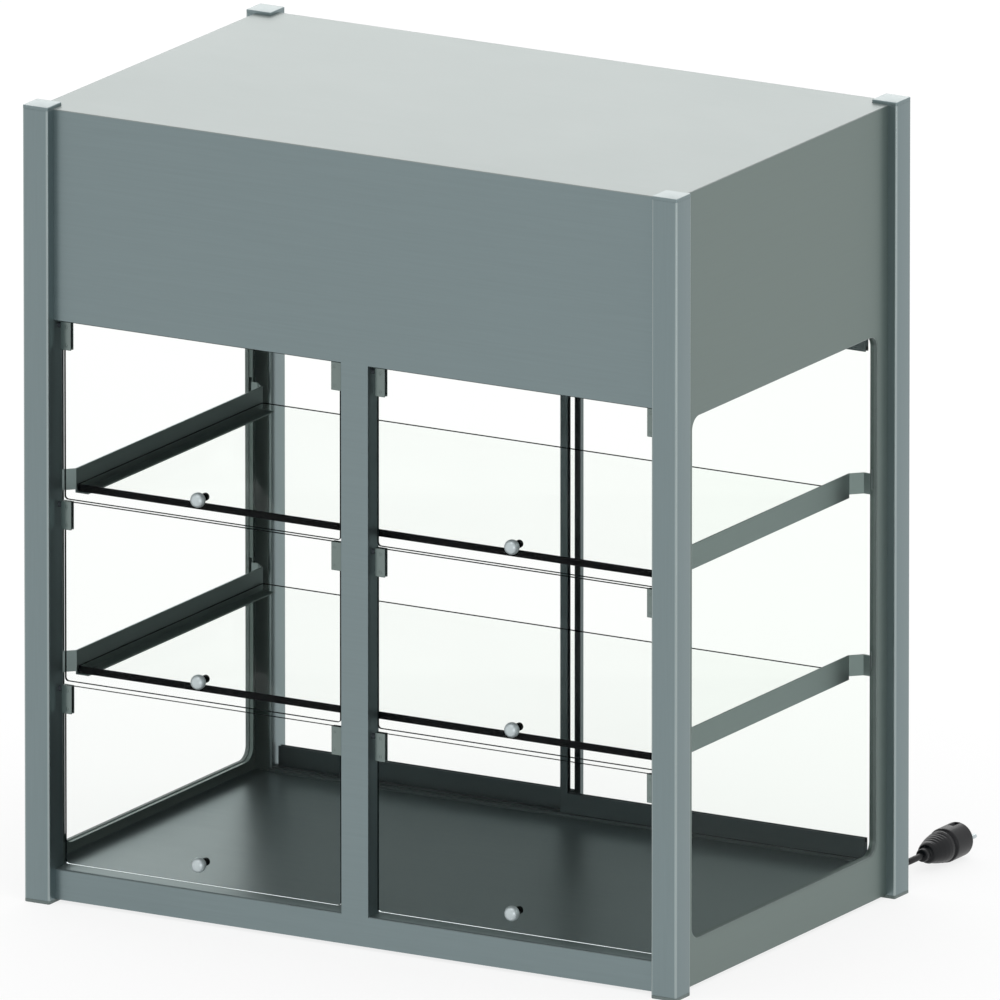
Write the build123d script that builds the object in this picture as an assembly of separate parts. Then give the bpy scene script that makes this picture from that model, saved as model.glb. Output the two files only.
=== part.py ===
from build123d import *
import math
import os

# Countertop food display cabinet: four square posts carry a closed hood, two glass shelves, six clear
# flap doors at the front and two sliding doors at the rear. Millimetres, +Z up, the front faces -Y,
# and the origin is on the standing surface below the middle of the cabinet.

# Overall size, over the posts and their caps
width = 780.0
depth = 488.0
height = 855.0

# Posts, caps and feet
post_side = 30.0
post_wall = 1.5
post_edge_radius = 2.0
cap_thickness = 3.5
cap_edge_radius = 1.0
foot_thickness = 3.5
foot_edge_chamfer = 0.6
spigot_length = 10.0
spigot_clearance = 0.1

# Sheet metal panels
sheet = 1.0
panel_setback = 12.0
side_setback = 10.25
panel_bottom_gap = 0.3
return_depth = 22.0
edge_flange = 16.0
hood_height = 229.0
front_rail_top = 35.3
rear_rail_top = 33.0
mullion_width = 32.0
mullion_notch_gap = 0.2

# Side windows
window_margin = 20.0
window_bottom = 51.5
window_top_drop = 15.0
window_corner_radius = 15.0
window_flange = 9.25
side_glass_thickness = 4.0
side_glass_recess = 0.5
seal_thickness = 1.0

# Floor deck
deck_top = 36.5
deck_nose_length = 2.4
deck_nose_radius = 3.0
deck_flange = 13.0
bearer_count = 3
bearer_spacing = 180.0
bearer_width = 40.0
bearer_height = 24.0
bearer_wall = 1.2
bearer_end_gap = 3.0

# Glass shelves and the rails that hold them
shelf_names = ["upper", "lower"]
shelf_thickness = 8.0
lower_shelf_rise = 212.2
shelf_pitch = 195.3
shelf_front_gap = 14.0
shelf_rear_gap = 33.0
shelf_side_gap = 0.3
rail_inset = 37.0
rail_thickness = 1.5
rail_rise = 16.7
rail_end_drop = 5.7
rail_flange = 15.5
rail_joggle = 11.0
rail_front_tab = 9.0
rail_rear_hook = 1.0
rail_slot_height = 21.5
rail_slot_drop = 0.5
rail_slot_inset = 1.2
rail_screw_radius = 2.0
rail_screw_head_radius = 3.6
rail_screw_head_height = 2.2
rail_screw_length = 8.0

# Flap doors: a row of two above each floor
row_names = ["top", "middle", "bottom"]
column_names = ["left", "right"]
flap_hood_gap = 2.6
flap_below_shelf = 11.35
flap_upper_gap = 1.8
flap_lower_gap = 4.2
flap_floor_gap = 4.4
pane_thickness = 3.0
pane_setback = 8.7
pane_post_gap = 7.0
pane_mullion_gap = 6.0
pane_corner_radius = 4.0

# Hinge clamps, pivot pins and bushes
clamp_width = 12.0
clamp_height = 30.3
clamp_side_gap = 4.0
clamp_front_plate = 1.7
clamp_rear_plate = 1.8
clamp_edge_radius = 0.6
clamp_pane_gap = 0.05
pivot_drop = 4.7
pin_radius = 1.5
pin_reach = 7.0
pin_bush_clearance = 0.05
bush_radius = 3.0
bush_shank_radius = 2.4
bush_shank_length = 3.0
bush_end_gap = 0.4
clamp_screw_pitch = 19.5
clamp_screw_drop = 5.4
clamp_screw_inset = 4.5
screw_radius = 1.3
screw_head_radius = 2.3
screw_head_depth = 1.0
screw_socket_radius = 1.0
screw_socket_depth = 0.8
screw_clearance = 0.1

# Ball knobs
knob_radius = 8.0
knob_seat_radius = 4.0
knob_rise = 23.2
knob_centre_setback = 12.4
knob_stud_radius = 2.0
knob_hole_clearance = 0.3
knob_nut_radius = 4.2
knob_nut_length = 6.0
knob_nut_fillet = 1.2

# Rear sliding doors and their tracks
track_front_gap = 1.7
track_side_gap = 0.1
track_rise = 3.5
track_rear_lip = 1.0
track_groove = 4.6
track_groove_depth = 4.5
top_track_height = 18.0
top_groove_depth = 13.0
door_depth = 6.4
inner_door_setback = 22.8
door_spacing = 12.0
door_track_gap = 0.6
door_top_gap = 1.4
door_tongue = 3.8
door_tongue_length = 7.0
door_glide_length = 40.0
door_glide_drop = 4.0
door_glide_inset = 30.0
door_rail_height = 21.4
inner_door_stile = 8.7
outer_door_stile = 7.0
door_overlap = 17.4
door_side_gap = 4.0
door_glass_setback = 0.5
door_glass_thickness = 4.0
door_glass_gap = 0.1
door_glass_seat = 5.0
pull_length = 110.0
pull_width = 8.0
pull_inset = 6.0
inner_pull_depth = 3.6
outer_pull_depth = 7.0

# Lamp in the ceiling, and the electrical parts in the hood
lamp_end_gap = 50.0
lamp_width = 24.0
lamp_setback = 94.0
diffuser_drop = 2.5
diffuser_lip = 3.0
diffuser_lip_thickness = 1.0
diffuser_gap = 0.2
lamp_housing_height = 18.0
lamp_housing_wall = 1.2
lamp_board_thickness = 1.6
lamp_board_width = 16.0
driver_size = [150.0, 42.0, 28.0]
driver_centre = [150.0, 60.0]
driver_ear = 12.0
driver_ear_width = 21.0
driver_ear_thickness = 3.0
driver_fillet = 3.0
terminal_size = [36.0, 20.0, 17.0]
terminal_side_gap = 55.0
terminal_rear_gap = 72.0
terminal_poles = 3
terminal_screw_radius = 2.2
terminal_screw_depth = 3.0

# Rocker switch on the rear hood panel
switch_side_gap = 60.0
switch_drop = 95.0
switch_bezel = [21.0, 26.0]
switch_bezel_thickness = 2.0
switch_body_size = [15.0, 20.0]
switch_body_depth = 16.0
switch_cutout_gap = 0.2
switch_well_depth = 6.0
switch_wall = 1.5
rocker_gap = 0.4
rocker_tilt = 9.0
rocker_crown = 3.2
rocker_dip = 1.2
rocker_back = 2.2
rocker_back_bulge = 1.4
rocker_back_share = 0.72
rocker_pivot_depth = 1.0
rocker_pin_radius = 1.0
rocker_pin_gap = 0.1

# Cable gland, mains lead and plug
cord_diameter = 7.0
gland_side_gap = 70.0
gland_z = 18.4
gland_nut_radius = 10.0
gland_nut_thickness = 4.0
gland_thread_radius = 6.0
gland_lock_nut = 5.0
gland_thread_stub = 2.0
gland_boot_length = 20.0
gland_boot_base_radius = 6.6
gland_boot_tip_radius = 4.6
gland_hole_clearance = 0.2
coil_rear_gap = 81.0
coil_radius = 50.0
coil_turns = 4.75
coil_pitch = 7.6
coil_layer_step = 7.6
plug_side_step = 73.0
plug_rear_gap = 85.0
plug_head_radius = 18.5
plug_head_length = 34.0
plug_head_fillet = 2.2
plug_ring_radius = 7.0
plug_ring_length = 9.0
plug_grip_radius = 10.6
plug_grip_shoulder = 13.2
plug_grip_length = 36.0
plug_grip_round = 1.5
plug_waist_radius = 17.6
plug_slot_width = 7.0
plug_slot_depth = 2.6
plug_slot_length = 17.0
plug_pin_radius = 2.4
plug_pin_length = 19.0
plug_pin_spacing = 19.0

# The lead's points from the gland to the coil, and from the coil to the plug: distance to the right of
# the gland, distance behind the rear panels' plane, and height
lead_route = [
    (0.0, 24.0, 18.4),
    (0.0, 40.0, 18.4),
    (0.0, 59.5, 11.1),
    (0.0, 74.0, 11.1),
]
tail_route = [
    (-43.0, 31.0, 3.5),
    (-20.0, 31.0, 3.5),
    (8.0, 16.5, 3.5),
    (37.5, 16.0, 6.0),
    (60.0, 28.5, 12.5),
    (73.0, 51.0, 18.5),
    (73.0, 85.0, 18.5),
]

# Internal wiring
wire_radius = 2.2
wire_hole_clearance = 1.5
lead_post_offset = 3.0
lead_exit_rise = 70.0

# Planes and levels worked out from the sizes above
half_width = width / 2
half_depth = depth / 2
post_inner_x = half_width - post_side
post_inner_y = half_depth - post_side
tube_top = height - cap_thickness
front_plane = -half_depth + panel_setback
rear_plane = half_depth - panel_setback
side_plane = half_width - side_setback
panel_bottom = foot_thickness + panel_bottom_gap
cover_under = tube_top - sheet
hood_bottom = height - hood_height
ceiling_top = hood_bottom + 2 * sheet
mullion_x = mullion_width / 2
window_y = post_inner_y - window_margin
window_top = hood_bottom - window_top_drop
window_inner_x = side_plane - window_flange
web_x = half_width - rail_inset
deck_under = deck_top - sheet
track_top = deck_top + track_rise
lower_shelf_top = deck_top + lower_shelf_rise
shelf_tops = [lower_shelf_top + shelf_pitch, lower_shelf_top]
shelf_front = -post_inner_y + shelf_front_gap
shelf_rear = post_inner_y - shelf_rear_gap
row_bottoms = [shelf_top - flap_below_shelf for shelf_top in shelf_tops] + [deck_top + flap_floor_gap]
row_tops = [hood_bottom - flap_hood_gap, row_bottoms[0] - flap_upper_gap, row_bottoms[1] - flap_lower_gap]
inner_door_front = rear_plane - inner_door_setback
track_front = inner_door_front - track_front_gap
outer_door_front = inner_door_front + door_spacing
track_rear = outer_door_front + door_depth + track_rear_lip
top_track_bottom = hood_bottom - top_track_height
pane_front = -half_depth + panel_setback + pane_setback
pane_rear = pane_front + pane_thickness
clamp_front = pane_front - clamp_front_plate
clamp_rear = pane_rear + clamp_rear_plate
pivot_y = (clamp_front + clamp_rear) / 2
pane_outer_x = post_inner_x - pane_post_gap
pane_inner_x = mullion_x + pane_mullion_gap
knob_x = (pane_outer_x + pane_inner_x) / 2
knob_y = -half_depth + knob_centre_setback
knob_nut_end = pane_rear + knob_nut_length
lead_post_y = half_depth - post_side / 2 - lead_post_offset
lead_exit_z = hood_bottom + lead_exit_rise
lamp_length = 2 * (post_inner_x - lamp_end_gap)
lamp_y = -half_depth + lamp_setback
terminal_centre = [post_inner_x - terminal_side_gap, rear_plane - terminal_rear_gap]
switch_x = post_inner_x - switch_side_gap
switch_z = height - switch_drop
gland_x = post_inner_x - gland_side_gap
plug_x = gland_x + plug_side_step
coil_centre = [gland_x - coil_radius, rear_plane + coil_rear_gap]
plug_neck_y = rear_plane + plug_rear_gap
lead_points = [(gland_x + x, rear_plane + y, z) for x, y, z in lead_route]
tail_points = [(gland_x + x, rear_plane + y, z) for x, y, z in tail_route]


def block(x0, x1, y0, y1, z0, z1):
    """A box between two opposite corners."""
    middle = Pos((x0 + x1) / 2, (y0 + y1) / 2, (z0 + z1) / 2)
    return middle * Box(abs(x1 - x0), abs(y1 - y0), abs(z1 - z0))


def rod(start, direction, radius, length):
    """A round bar from a point along a direction."""
    return Solid.make_cylinder(radius, length, Plane(origin=start, z_dir=direction))


def hexagon_bar(start, direction, radius, length):
    """A six-sided bar whose corners lie at the radius."""
    face = Plane(origin=start, z_dir=direction) * RegularPolygon(radius, 6)
    return extrude(face, length, dir=direction)


def joined(shapes):
    """One solid out of shapes that overlap or share faces."""
    result = shapes[0]
    for shape in shapes[1:]:
        result = result + shape
    return result


def both_sides(shape):
    """The shape and its mirror image on the other side of the cabinet."""
    return [shape, mirror(shape, about=Plane.YZ)]


def group(shapes):
    """Separate solids that share one node."""
    solids = []
    for shape in shapes:
        solids.extend(shape.solids())
    return Compound(solids)


def upright_prism(points, z0, z1):
    """A prism over a plan outline."""
    outline = make_face(Polyline(*points, close=True))
    return extrude(Pos(0, 0, z0) * outline, z1 - z0)


# Posts, caps and feet

def hinge_heights():
    return [top - pivot_drop for top in row_tops]


def post_tube(x, y):
    """A square tube with rounded corners, standing between its foot and its cap."""
    length = tube_top - foot_thickness
    inner_side = post_side - 2 * post_wall
    outer = extrude(RectangleRounded(post_side, post_side, post_edge_radius), length)
    inner = extrude(RectangleRounded(inner_side, inner_side, post_edge_radius / 4), length)
    return Pos(x, y, foot_thickness) * (outer - inner)


def post_centre(side_x, side_y):
    return side_x * (half_width - post_side / 2), side_y * (half_depth - post_side / 2)


def front_post(side_x):
    """A front post, with a hole for each hinge bush in its inner wall."""
    post = post_tube(*post_centre(side_x, -1))
    for z in hinge_heights():
        start = (side_x * (post_inner_x - post_wall), pivot_y, z)
        post = post - rod(start, (side_x, 0, 0), bush_shank_radius, 3 * post_wall)
    for shelf_top in shelf_tops:
        hole = rail_screw_hole(shelf_top)
        post = post - (hole if side_x > 0 else mirror(hole, about=Plane.YZ))
    return post


def lead_hole(z):
    """A drilled way for the mains lead through the right rear post's inner wall and its neighbours."""
    radius = cord_diameter / 2 + wire_hole_clearance
    start = (post_inner_x - 2 * sheet, lead_post_y, z)
    return rod(start, (1, 0, 0), radius, 2 * sheet + 2 * post_wall)


def rear_post(side_x):
    """A rear post. The lead goes in at the base of the right one and comes out in the hood."""
    post = post_tube(*post_centre(side_x, 1))
    if side_x > 0:
        post = post - lead_hole(gland_z)
        post = post - lead_hole(lead_exit_z)
    return post


def spigot():
    side = post_side - 2 * post_wall - 2 * spigot_clearance
    return extrude(RectangleRounded(side, side, post_edge_radius / 2), spigot_length)


def post_cap():
    """A cap plate with rounded edges and the spigot that holds it in the tube."""
    plate = extrude(RectangleRounded(post_side, post_side, post_edge_radius), cap_thickness)
    plate = fillet(plate.faces().sort_by(Axis.Z)[-1].edges(), cap_edge_radius)
    return plate + Pos(0, 0, -spigot_length) * spigot()


def post_foot():
    """A plug foot, flat below, with the spigot that holds it in the tube."""
    plate = extrude(RectangleRounded(post_side, post_side, post_edge_radius), foot_thickness)
    plate = chamfer(plate.faces().sort_by(Axis.Z)[0].edges(), foot_edge_chamfer)
    return plate + Pos(0, 0, foot_thickness) * spigot()


def at_posts(piece, z):
    """A copy of the piece at each of the four posts."""
    copies = []
    for side_x in (-1, 1):
        for side_y in (-1, 1):
            x, y = post_centre(side_x, side_y)
            copies.append(Pos(x, y, z) * piece)
    return group(copies)


# Sheet metal panels

def edge_flanges(face_y, inward, z0, z1):
    """The two flanges of a front or rear sheet that lie against the posts' inner faces."""
    flange = block(post_inner_x - sheet, post_inner_x, face_y, face_y + inward * edge_flange, z0, z1)
    return both_sides(flange)


def front_frame():
    """Fascia, middle mullion and bottom rail in one plane, each with its folded returns."""
    back = front_plane + sheet
    deep = front_plane + return_depth
    pieces = [
        block(-post_inner_x, post_inner_x, front_plane, back, hood_bottom, cover_under),
        block(-post_inner_x, post_inner_x, front_plane, deep, hood_bottom, hood_bottom + sheet),
        block(-mullion_x, mullion_x, front_plane, back, panel_bottom, hood_bottom + sheet),
        block(-post_inner_x, post_inner_x, front_plane, back, panel_bottom, front_rail_top),
        block(-post_inner_x, post_inner_x, front_plane, deep, front_rail_top - sheet, front_rail_top),
        block(-post_inner_x, post_inner_x, front_plane, deep, panel_bottom, panel_bottom + sheet),
    ]
    side = block(mullion_x - sheet, mullion_x, front_plane, deep, front_rail_top - sheet, hood_bottom)
    pieces += both_sides(side)
    pieces += edge_flanges(front_plane, 1, hood_bottom, cover_under)
    pieces += edge_flanges(front_plane, 1, panel_bottom, front_rail_top)
    frame = joined(pieces)
    for z in hinge_heights():
        hole = rod((mullion_x - 2 * sheet, pivot_y, z), (1, 0, 0), bush_shank_radius, 3 * sheet)
        for cut in both_sides(hole):
            frame = frame - cut
    return frame


def window_outline(grow):
    """The window's rounded outline in the side plane, grown all round."""
    tall = window_top - window_bottom + 2 * grow
    long = 2 * window_y + 2 * grow
    middle = (window_top + window_bottom) / 2
    plane = Plane(origin=(0, 0, middle), x_dir=(0, 1, 0), z_dir=(1, 0, 0))
    return plane * RectangleRounded(long, tall, window_corner_radius + grow)


def window_slab(grow, x0, x1):
    """A slab with the window's outline between two distances from the middle."""
    return Pos(x0, 0, 0) * extrude(window_outline(grow), x1 - x0, dir=(1, 0, 0))


def rail_slot(shelf_top):
    """The slot in the window's rear jamb that a shelf rail hooks into."""
    low = shelf_top - rail_slot_drop
    return block(window_inner_x + rail_slot_inset, side_plane - rail_slot_inset,
                 window_y - 1, window_y + sheet + 1, low, low + rail_slot_height)


def rail_screw_place(shelf_top):
    """The middle of a rail's front tab, in x and z."""
    x = web_x + rail_joggle + rail_front_tab / 2
    z = shelf_top + (rail_rise - rail_end_drop) / 2
    return x, z


def rail_screw_hole(shelf_top):
    """The right side's hole for a rail screw, through the tab, the panel's fold and the post's wall."""
    x, z = rail_screw_place(shelf_top)
    start = (x, -post_inner_y - 2 * post_wall, z)
    length = 2 * post_wall + sheet + 2 * rail_thickness
    return rod(start, (0, 1, 0), rail_screw_radius + screw_clearance, length)


def rail_screw(shelf_top):
    """A pan-head screw that holds the front end of the right rail to its post."""
    x, z = rail_screw_place(shelf_top)
    tab_face = -post_inner_y + sheet + rail_thickness
    head = rod((x, tab_face, z), (0, 1, 0), rail_screw_head_radius, rail_screw_head_height)
    head = fillet(head.faces().sort_by(Axis.Y)[-1].edges(), rail_screw_head_height / 2)
    return head + rod((x, tab_face, z), (0, -1, 0), rail_screw_radius, rail_screw_length)


def rail_screws():
    screws = []
    for shelf_top in shelf_tops:
        screws += both_sides(rail_screw(shelf_top))
    return group(screws)


def side_panel():
    """The right side sheet: a rounded window with a deep return all round it."""
    inner = side_plane - sheet
    edge_y = post_inner_y
    panel = block(inner, side_plane, -edge_y, edge_y, panel_bottom, cover_under)
    panel = panel + window_slab(sheet, window_inner_x, inner)
    foot_fold = block(inner - edge_flange, inner, -edge_y, edge_y, panel_bottom, panel_bottom + sheet)
    panel = panel + foot_fold
    for side_y in (-1, 1):
        fold = block(inner - edge_flange, inner, side_y * (edge_y - sheet), side_y * edge_y,
                     panel_bottom, cover_under)
        panel = panel + fold
    panel = panel - window_slab(0, window_inner_x - 1, side_plane + 1)
    for shelf_top in shelf_tops:
        panel = panel - rail_slot(shelf_top) - rail_screw_hole(shelf_top)
    return panel


def side_glass():
    """The fixed pane in the right window, held by its seal."""
    outer = side_plane - side_glass_recess
    return window_slab(-seal_thickness, outer - side_glass_thickness, outer)


def side_seal():
    """The bead of sealant between the pane's edge and the window's return."""
    outer = side_plane - side_glass_recess
    inner = outer - side_glass_thickness
    return window_slab(0, inner, outer) - window_slab(-seal_thickness, inner - 1, outer + 1)


def top_cover():
    """The lid of the hood, notched round the posts, with folds inside the four walls."""
    fold_depth = return_depth
    cover = block(-side_plane, side_plane, -post_inner_y, post_inner_y, cover_under, tube_top)
    cover = cover + block(-post_inner_x, post_inner_x, front_plane, rear_plane, cover_under, tube_top)
    low = cover_under - fold_depth
    end_x = post_inner_x - edge_flange
    end_y = post_inner_y - edge_flange
    front_fold = block(-end_x, end_x, front_plane + sheet, front_plane + 2 * sheet, low, cover_under)
    rear_fold = block(-end_x, end_x, rear_plane - 2 * sheet, rear_plane - sheet, low, cover_under)
    side_fold = block(side_plane - 2 * sheet, side_plane - sheet, -end_y, end_y, low, cover_under)
    return joined([cover, front_fold, rear_fold] + both_sides(side_fold))


def switch_cutout():
    half_x = switch_body_size[0] / 2 + switch_cutout_gap
    half_z = switch_body_size[1] / 2 + switch_cutout_gap
    return block(switch_x - half_x, switch_x + half_x, rear_plane - 3 * sheet, rear_plane + sheet,
                 switch_z - half_z, switch_z + half_z)


def rear_hood_panel():
    """The hood's rear wall, with the switch's cut-out and the way for the lead."""
    inner = rear_plane - sheet
    panel = block(-post_inner_x, post_inner_x, inner, rear_plane, hood_bottom, cover_under)
    fold = block(-post_inner_x, post_inner_x, track_front, rear_plane, hood_bottom, hood_bottom + sheet)
    flanges = edge_flanges(rear_plane, -1, hood_bottom, cover_under)
    panel = joined([panel, fold] + flanges)
    return panel - switch_cutout() - lead_hole(lead_exit_z)


def rear_base_rail():
    """The rear rail below the doors, with the gland's hole and the way for the lead."""
    inner = rear_plane - sheet
    folds = [rear_rail_top - sheet, panel_bottom]
    pieces = [block(-post_inner_x, post_inner_x, inner, rear_plane, panel_bottom, rear_rail_top)]
    for z in folds:
        pieces.append(block(-post_inner_x, post_inner_x, track_front, rear_plane, z, z + sheet))
    pieces += edge_flanges(rear_plane, -1, panel_bottom, rear_rail_top)
    gland_hole = rod((gland_x, inner - sheet, gland_z), (0, 1, 0),
                     gland_thread_radius + gland_hole_clearance, 3 * sheet)
    return joined(pieces) - gland_hole - lead_hole(gland_z)


def ceiling_panel():
    """The hood's floor, which is the cabinet's ceiling, with the slot for the lamp."""
    low = hood_bottom + sheet
    inner = side_plane - sheet
    end_y = post_inner_y - sheet
    plate = block(-inner, inner, -end_y, end_y, low, ceiling_top)
    plate = plate + block(-post_inner_x + sheet, post_inner_x - sheet,
                          front_plane + sheet, rear_plane - sheet, low, ceiling_top)
    fold = block(inner - sheet, inner, -end_y + edge_flange, end_y - edge_flange,
                 ceiling_top, ceiling_top + edge_flange)
    slot = block(-lamp_length / 2, lamp_length / 2, lamp_y - lamp_width / 2, lamp_y + lamp_width / 2,
                 low - 1, ceiling_top + 1)
    return joined([plate] + both_sides(fold)) - slot


# Floor deck

def deck_nose():
    """The rounded front edge: an arc from the flat down to the front rail."""
    start_y = front_plane + deck_nose_length
    centre_z = deck_top - deck_nose_radius
    inner_radius = deck_nose_radius - sheet
    drop = math.sqrt(deck_nose_radius ** 2 - deck_nose_length ** 2)
    inner_end = start_y - math.sqrt(inner_radius ** 2 - drop ** 2)
    half_turn = math.asin(deck_nose_length / deck_nose_radius) / 2
    inner_turn = math.acos(drop / inner_radius) / 2

    def on_arc(radius, turn):
        return 0, start_y - radius * math.sin(turn), centre_z + radius * math.cos(turn)

    outer_start = (0, start_y, deck_top)
    outer_end = (0, front_plane, centre_z + drop)
    inner_end = (0, inner_end, centre_z + drop)
    inner_start = (0, start_y, deck_under)
    outline = [
        ThreePointArc(outer_start, on_arc(deck_nose_radius, half_turn), outer_end),
        Line(outer_end, inner_end),
        ThreePointArc(inner_end, on_arc(inner_radius, inner_turn), inner_start),
        Line(inner_start, outer_start),
    ]
    face = make_face(outline)
    half = post_inner_x - mullion_notch_gap
    return Pos(-half, 0, 0) * extrude(face, 2 * half, dir=(1, 0, 0))


def floor_deck():
    """The deck between the side sheets, with its nose, its folds and a notch for the mullion."""
    inner = side_plane - sheet
    end_y = post_inner_y - sheet
    start_y = front_plane + deck_nose_length
    low = deck_under - deck_flange
    half = post_inner_x - mullion_notch_gap
    pieces = [
        deck_nose(),
        block(-half, half, start_y, -end_y + sheet, deck_under, deck_top),
        block(-inner, inner, -end_y, track_front, deck_under, deck_top),
        block(-half, half, track_front - sheet, track_front, low, deck_top),
    ]
    pieces += both_sides(block(post_inner_x, inner, track_front, end_y, deck_under, deck_top))
    side_fold = block(inner - sheet, inner, -end_y, track_front - edge_flange, low, deck_top)
    pieces += both_sides(side_fold)
    notch_x = mullion_x + mullion_notch_gap
    notch_y = front_plane + return_depth + mullion_notch_gap
    notch = block(-notch_x, notch_x, front_plane - 1, notch_y, front_rail_top, deck_top + 1)
    return joined(pieces) - notch


def deck_bearers():
    """Stiffening channels under the deck, open below."""
    rear_end = track_front - sheet - bearer_end_gap
    front_end = front_plane + return_depth + bearer_end_gap
    low = deck_under - bearer_height
    bearers = []
    for index in range(bearer_count):
        x = (index - (bearer_count - 1) / 2) * bearer_spacing
        x0 = x - bearer_width / 2
        x1 = x + bearer_width / 2
        channel = block(x0, x1, front_end, rear_end, low, deck_under)
        hollow = block(x0 + bearer_wall, x1 - bearer_wall, front_end - 1, rear_end + 1,
                       low - 1, deck_under - bearer_wall)
        bearers.append(channel - hollow)
    return group(bearers)


# Shelves and rails

def shelf_rail(shelf_top):
    """The right rail: an upright web, a flange that carries the glass, and two joggled ends."""
    web_in = web_x - rail_thickness
    bend = rail_thickness * math.tan(math.radians(22.5))
    front_face = -post_inner_y + sheet
    rear_face = window_y
    end_x = web_x + rail_joggle
    web_front = front_face + rail_thickness + rail_joggle
    web_rear = rear_face - rail_thickness - rail_joggle
    hook_x = window_inner_x + rail_rear_hook
    outline = [
        (end_x + rail_front_tab, front_face),
        (end_x - bend, front_face),
        (web_in, web_front - bend),
        (web_in, web_rear + bend),
        (end_x - bend, rear_face),
        (hook_x, rear_face),
        (hook_x, rear_face - rail_thickness),
        (end_x, rear_face - rail_thickness),
        (web_x, web_rear),
        (web_x, web_front),
        (end_x, front_face + rail_thickness),
        (end_x + rail_front_tab, front_face + rail_thickness),
    ]
    strip = upright_prism(outline, shelf_top - rail_end_drop, shelf_top + rail_rise)
    seat = shelf_top - shelf_thickness
    low = seat - rail_thickness
    web = block(web_in, web_x, web_front, web_rear, low, shelf_top)
    flange = block(web_x - rail_flange, web_x, web_front, web_rear, low, seat)
    return joined([strip, web, flange]) - rail_screw_hole(shelf_top)


def shelf_glass(shelf_top):
    """A glass shelf lying on its two rails."""
    half = web_x - rail_thickness - shelf_side_gap
    return block(-half, half, shelf_front, shelf_rear, shelf_top - shelf_thickness, shelf_top)


# Flap doors

def placed(shape, column):
    """A right-hand piece as it is, or its mirror image for the left-hand column."""
    if column == "left":
        return mirror(shape, about=Plane.YZ)
    return shape


def clamp_edges():
    """Post side and mullion side of the right column: outer face, pane edge, and outward direction."""
    return [
        (post_inner_x - clamp_side_gap, pane_outer_x, 1),
        (mullion_x + clamp_side_gap, pane_inner_x, -1),
    ]


def clamp_screw_places(row):
    """The four clamp screws of one flap, as x and z."""
    places = []
    for face_x, edge_x, outward in clamp_edges():
        x = face_x - outward * (clamp_width - clamp_screw_inset)
        for drop in (clamp_screw_drop, clamp_screw_drop + clamp_screw_pitch):
            places.append((x, row_tops[row] - drop))
    return places


def knob_place(row):
    return knob_x, row_bottoms[row] + knob_rise


def flap_pane(row):
    """A clear pane with rounded lower corners and holes for its screws and knob."""
    pane = block(pane_inner_x, pane_outer_x, pane_front, pane_rear, row_bottoms[row], row_tops[row])
    lower = pane.edges().filter_by(Axis.Y).sort_by(Axis.Z)[:2]
    pane = fillet(lower, pane_corner_radius)
    for x, z in clamp_screw_places(row):
        hole = rod((x, pane_front - 1, z), (0, 1, 0), screw_radius + screw_clearance, pane_thickness + 2)
        pane = pane - hole
    x, z = knob_place(row)
    radius = knob_stud_radius + knob_hole_clearance
    return pane - rod((x, pane_front - 1, z), (0, 1, 0), radius, pane_thickness + 2)


def hinge_clamp(row, face_x, edge_x, outward):
    """A clamp round the pane's upper corner, with its pivot pin."""
    top = row_tops[row]
    inner_x = face_x - outward * clamp_width
    body = block(inner_x, face_x, clamp_front, clamp_rear, top - clamp_height, top)
    body = fillet(body.edges().filter_by(Axis.Z), clamp_edge_radius)
    slot_x = edge_x + outward * clamp_pane_gap
    slot = block(inner_x - outward, slot_x, pane_front - clamp_pane_gap, pane_rear + clamp_pane_gap,
                 top - clamp_height - 1, top + 1)
    body = body - slot
    pin = rod((face_x - outward, pivot_y, top - pivot_drop), (outward, 0, 0), pin_radius, pin_reach + 1)
    body = body + pin
    for x, z in clamp_screw_places(row):
        body = body - screw_shape(x, z, screw_clearance)
    return body


def screw_shape(x, z, grow):
    """A countersunk screw through both plates, or the hole for it when grown."""
    length = clamp_rear - clamp_front
    shank = rod((x, clamp_front, z), (0, 1, 0), screw_radius + grow, length)
    plane = Plane(origin=(x, clamp_front, z), z_dir=(0, 1, 0))
    head = Solid.make_cone(screw_head_radius + grow, screw_radius + grow, screw_head_depth, plane)
    return shank + head


def clamp_screw(x, z):
    """A countersunk screw with a hexagon socket."""
    socket = hexagon_bar((x, clamp_front - 1, z), (0, 1, 0), screw_socket_radius, screw_socket_depth + 1)
    return screw_shape(x, z, 0) - socket


def hinge_clamps(row, column):
    """Both clamps of one flap and their four screws."""
    pieces = []
    for face_x, edge_x, outward in clamp_edges():
        pieces.append(hinge_clamp(row, face_x, edge_x, outward))
    for x, z in clamp_screw_places(row):
        pieces.append(clamp_screw(x, z))
    return group([placed(piece, column) for piece in pieces])


def flap_knob(row, column):
    """A ball knob on a stud through the pane, and its round nut behind."""
    x, z = knob_place(row)
    ball = Pos(x, knob_y, z) * Sphere(knob_radius)
    ball = ball - block(x - knob_radius, x + knob_radius, pane_front, pane_front + knob_radius,
                        z - knob_radius, z + knob_radius)
    seat = rod((x, knob_y, z), (0, 1, 0), knob_seat_radius, pane_front - knob_y)
    stud = rod((x, knob_y, z), (0, 1, 0), knob_stud_radius, knob_nut_end - 1 - knob_y)
    nut = rod((x, pane_rear, z), (0, 1, 0), knob_nut_radius, knob_nut_length)
    nut = fillet(nut.faces().sort_by(Axis.Y)[-1].edges(), knob_nut_fillet)
    bore = rod((x, pane_rear - 1, z), (0, 1, 0), knob_stud_radius + screw_clearance / 2, knob_nut_length)
    return group([placed(ball + seat + stud, column), placed(nut - bore, column)])


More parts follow.
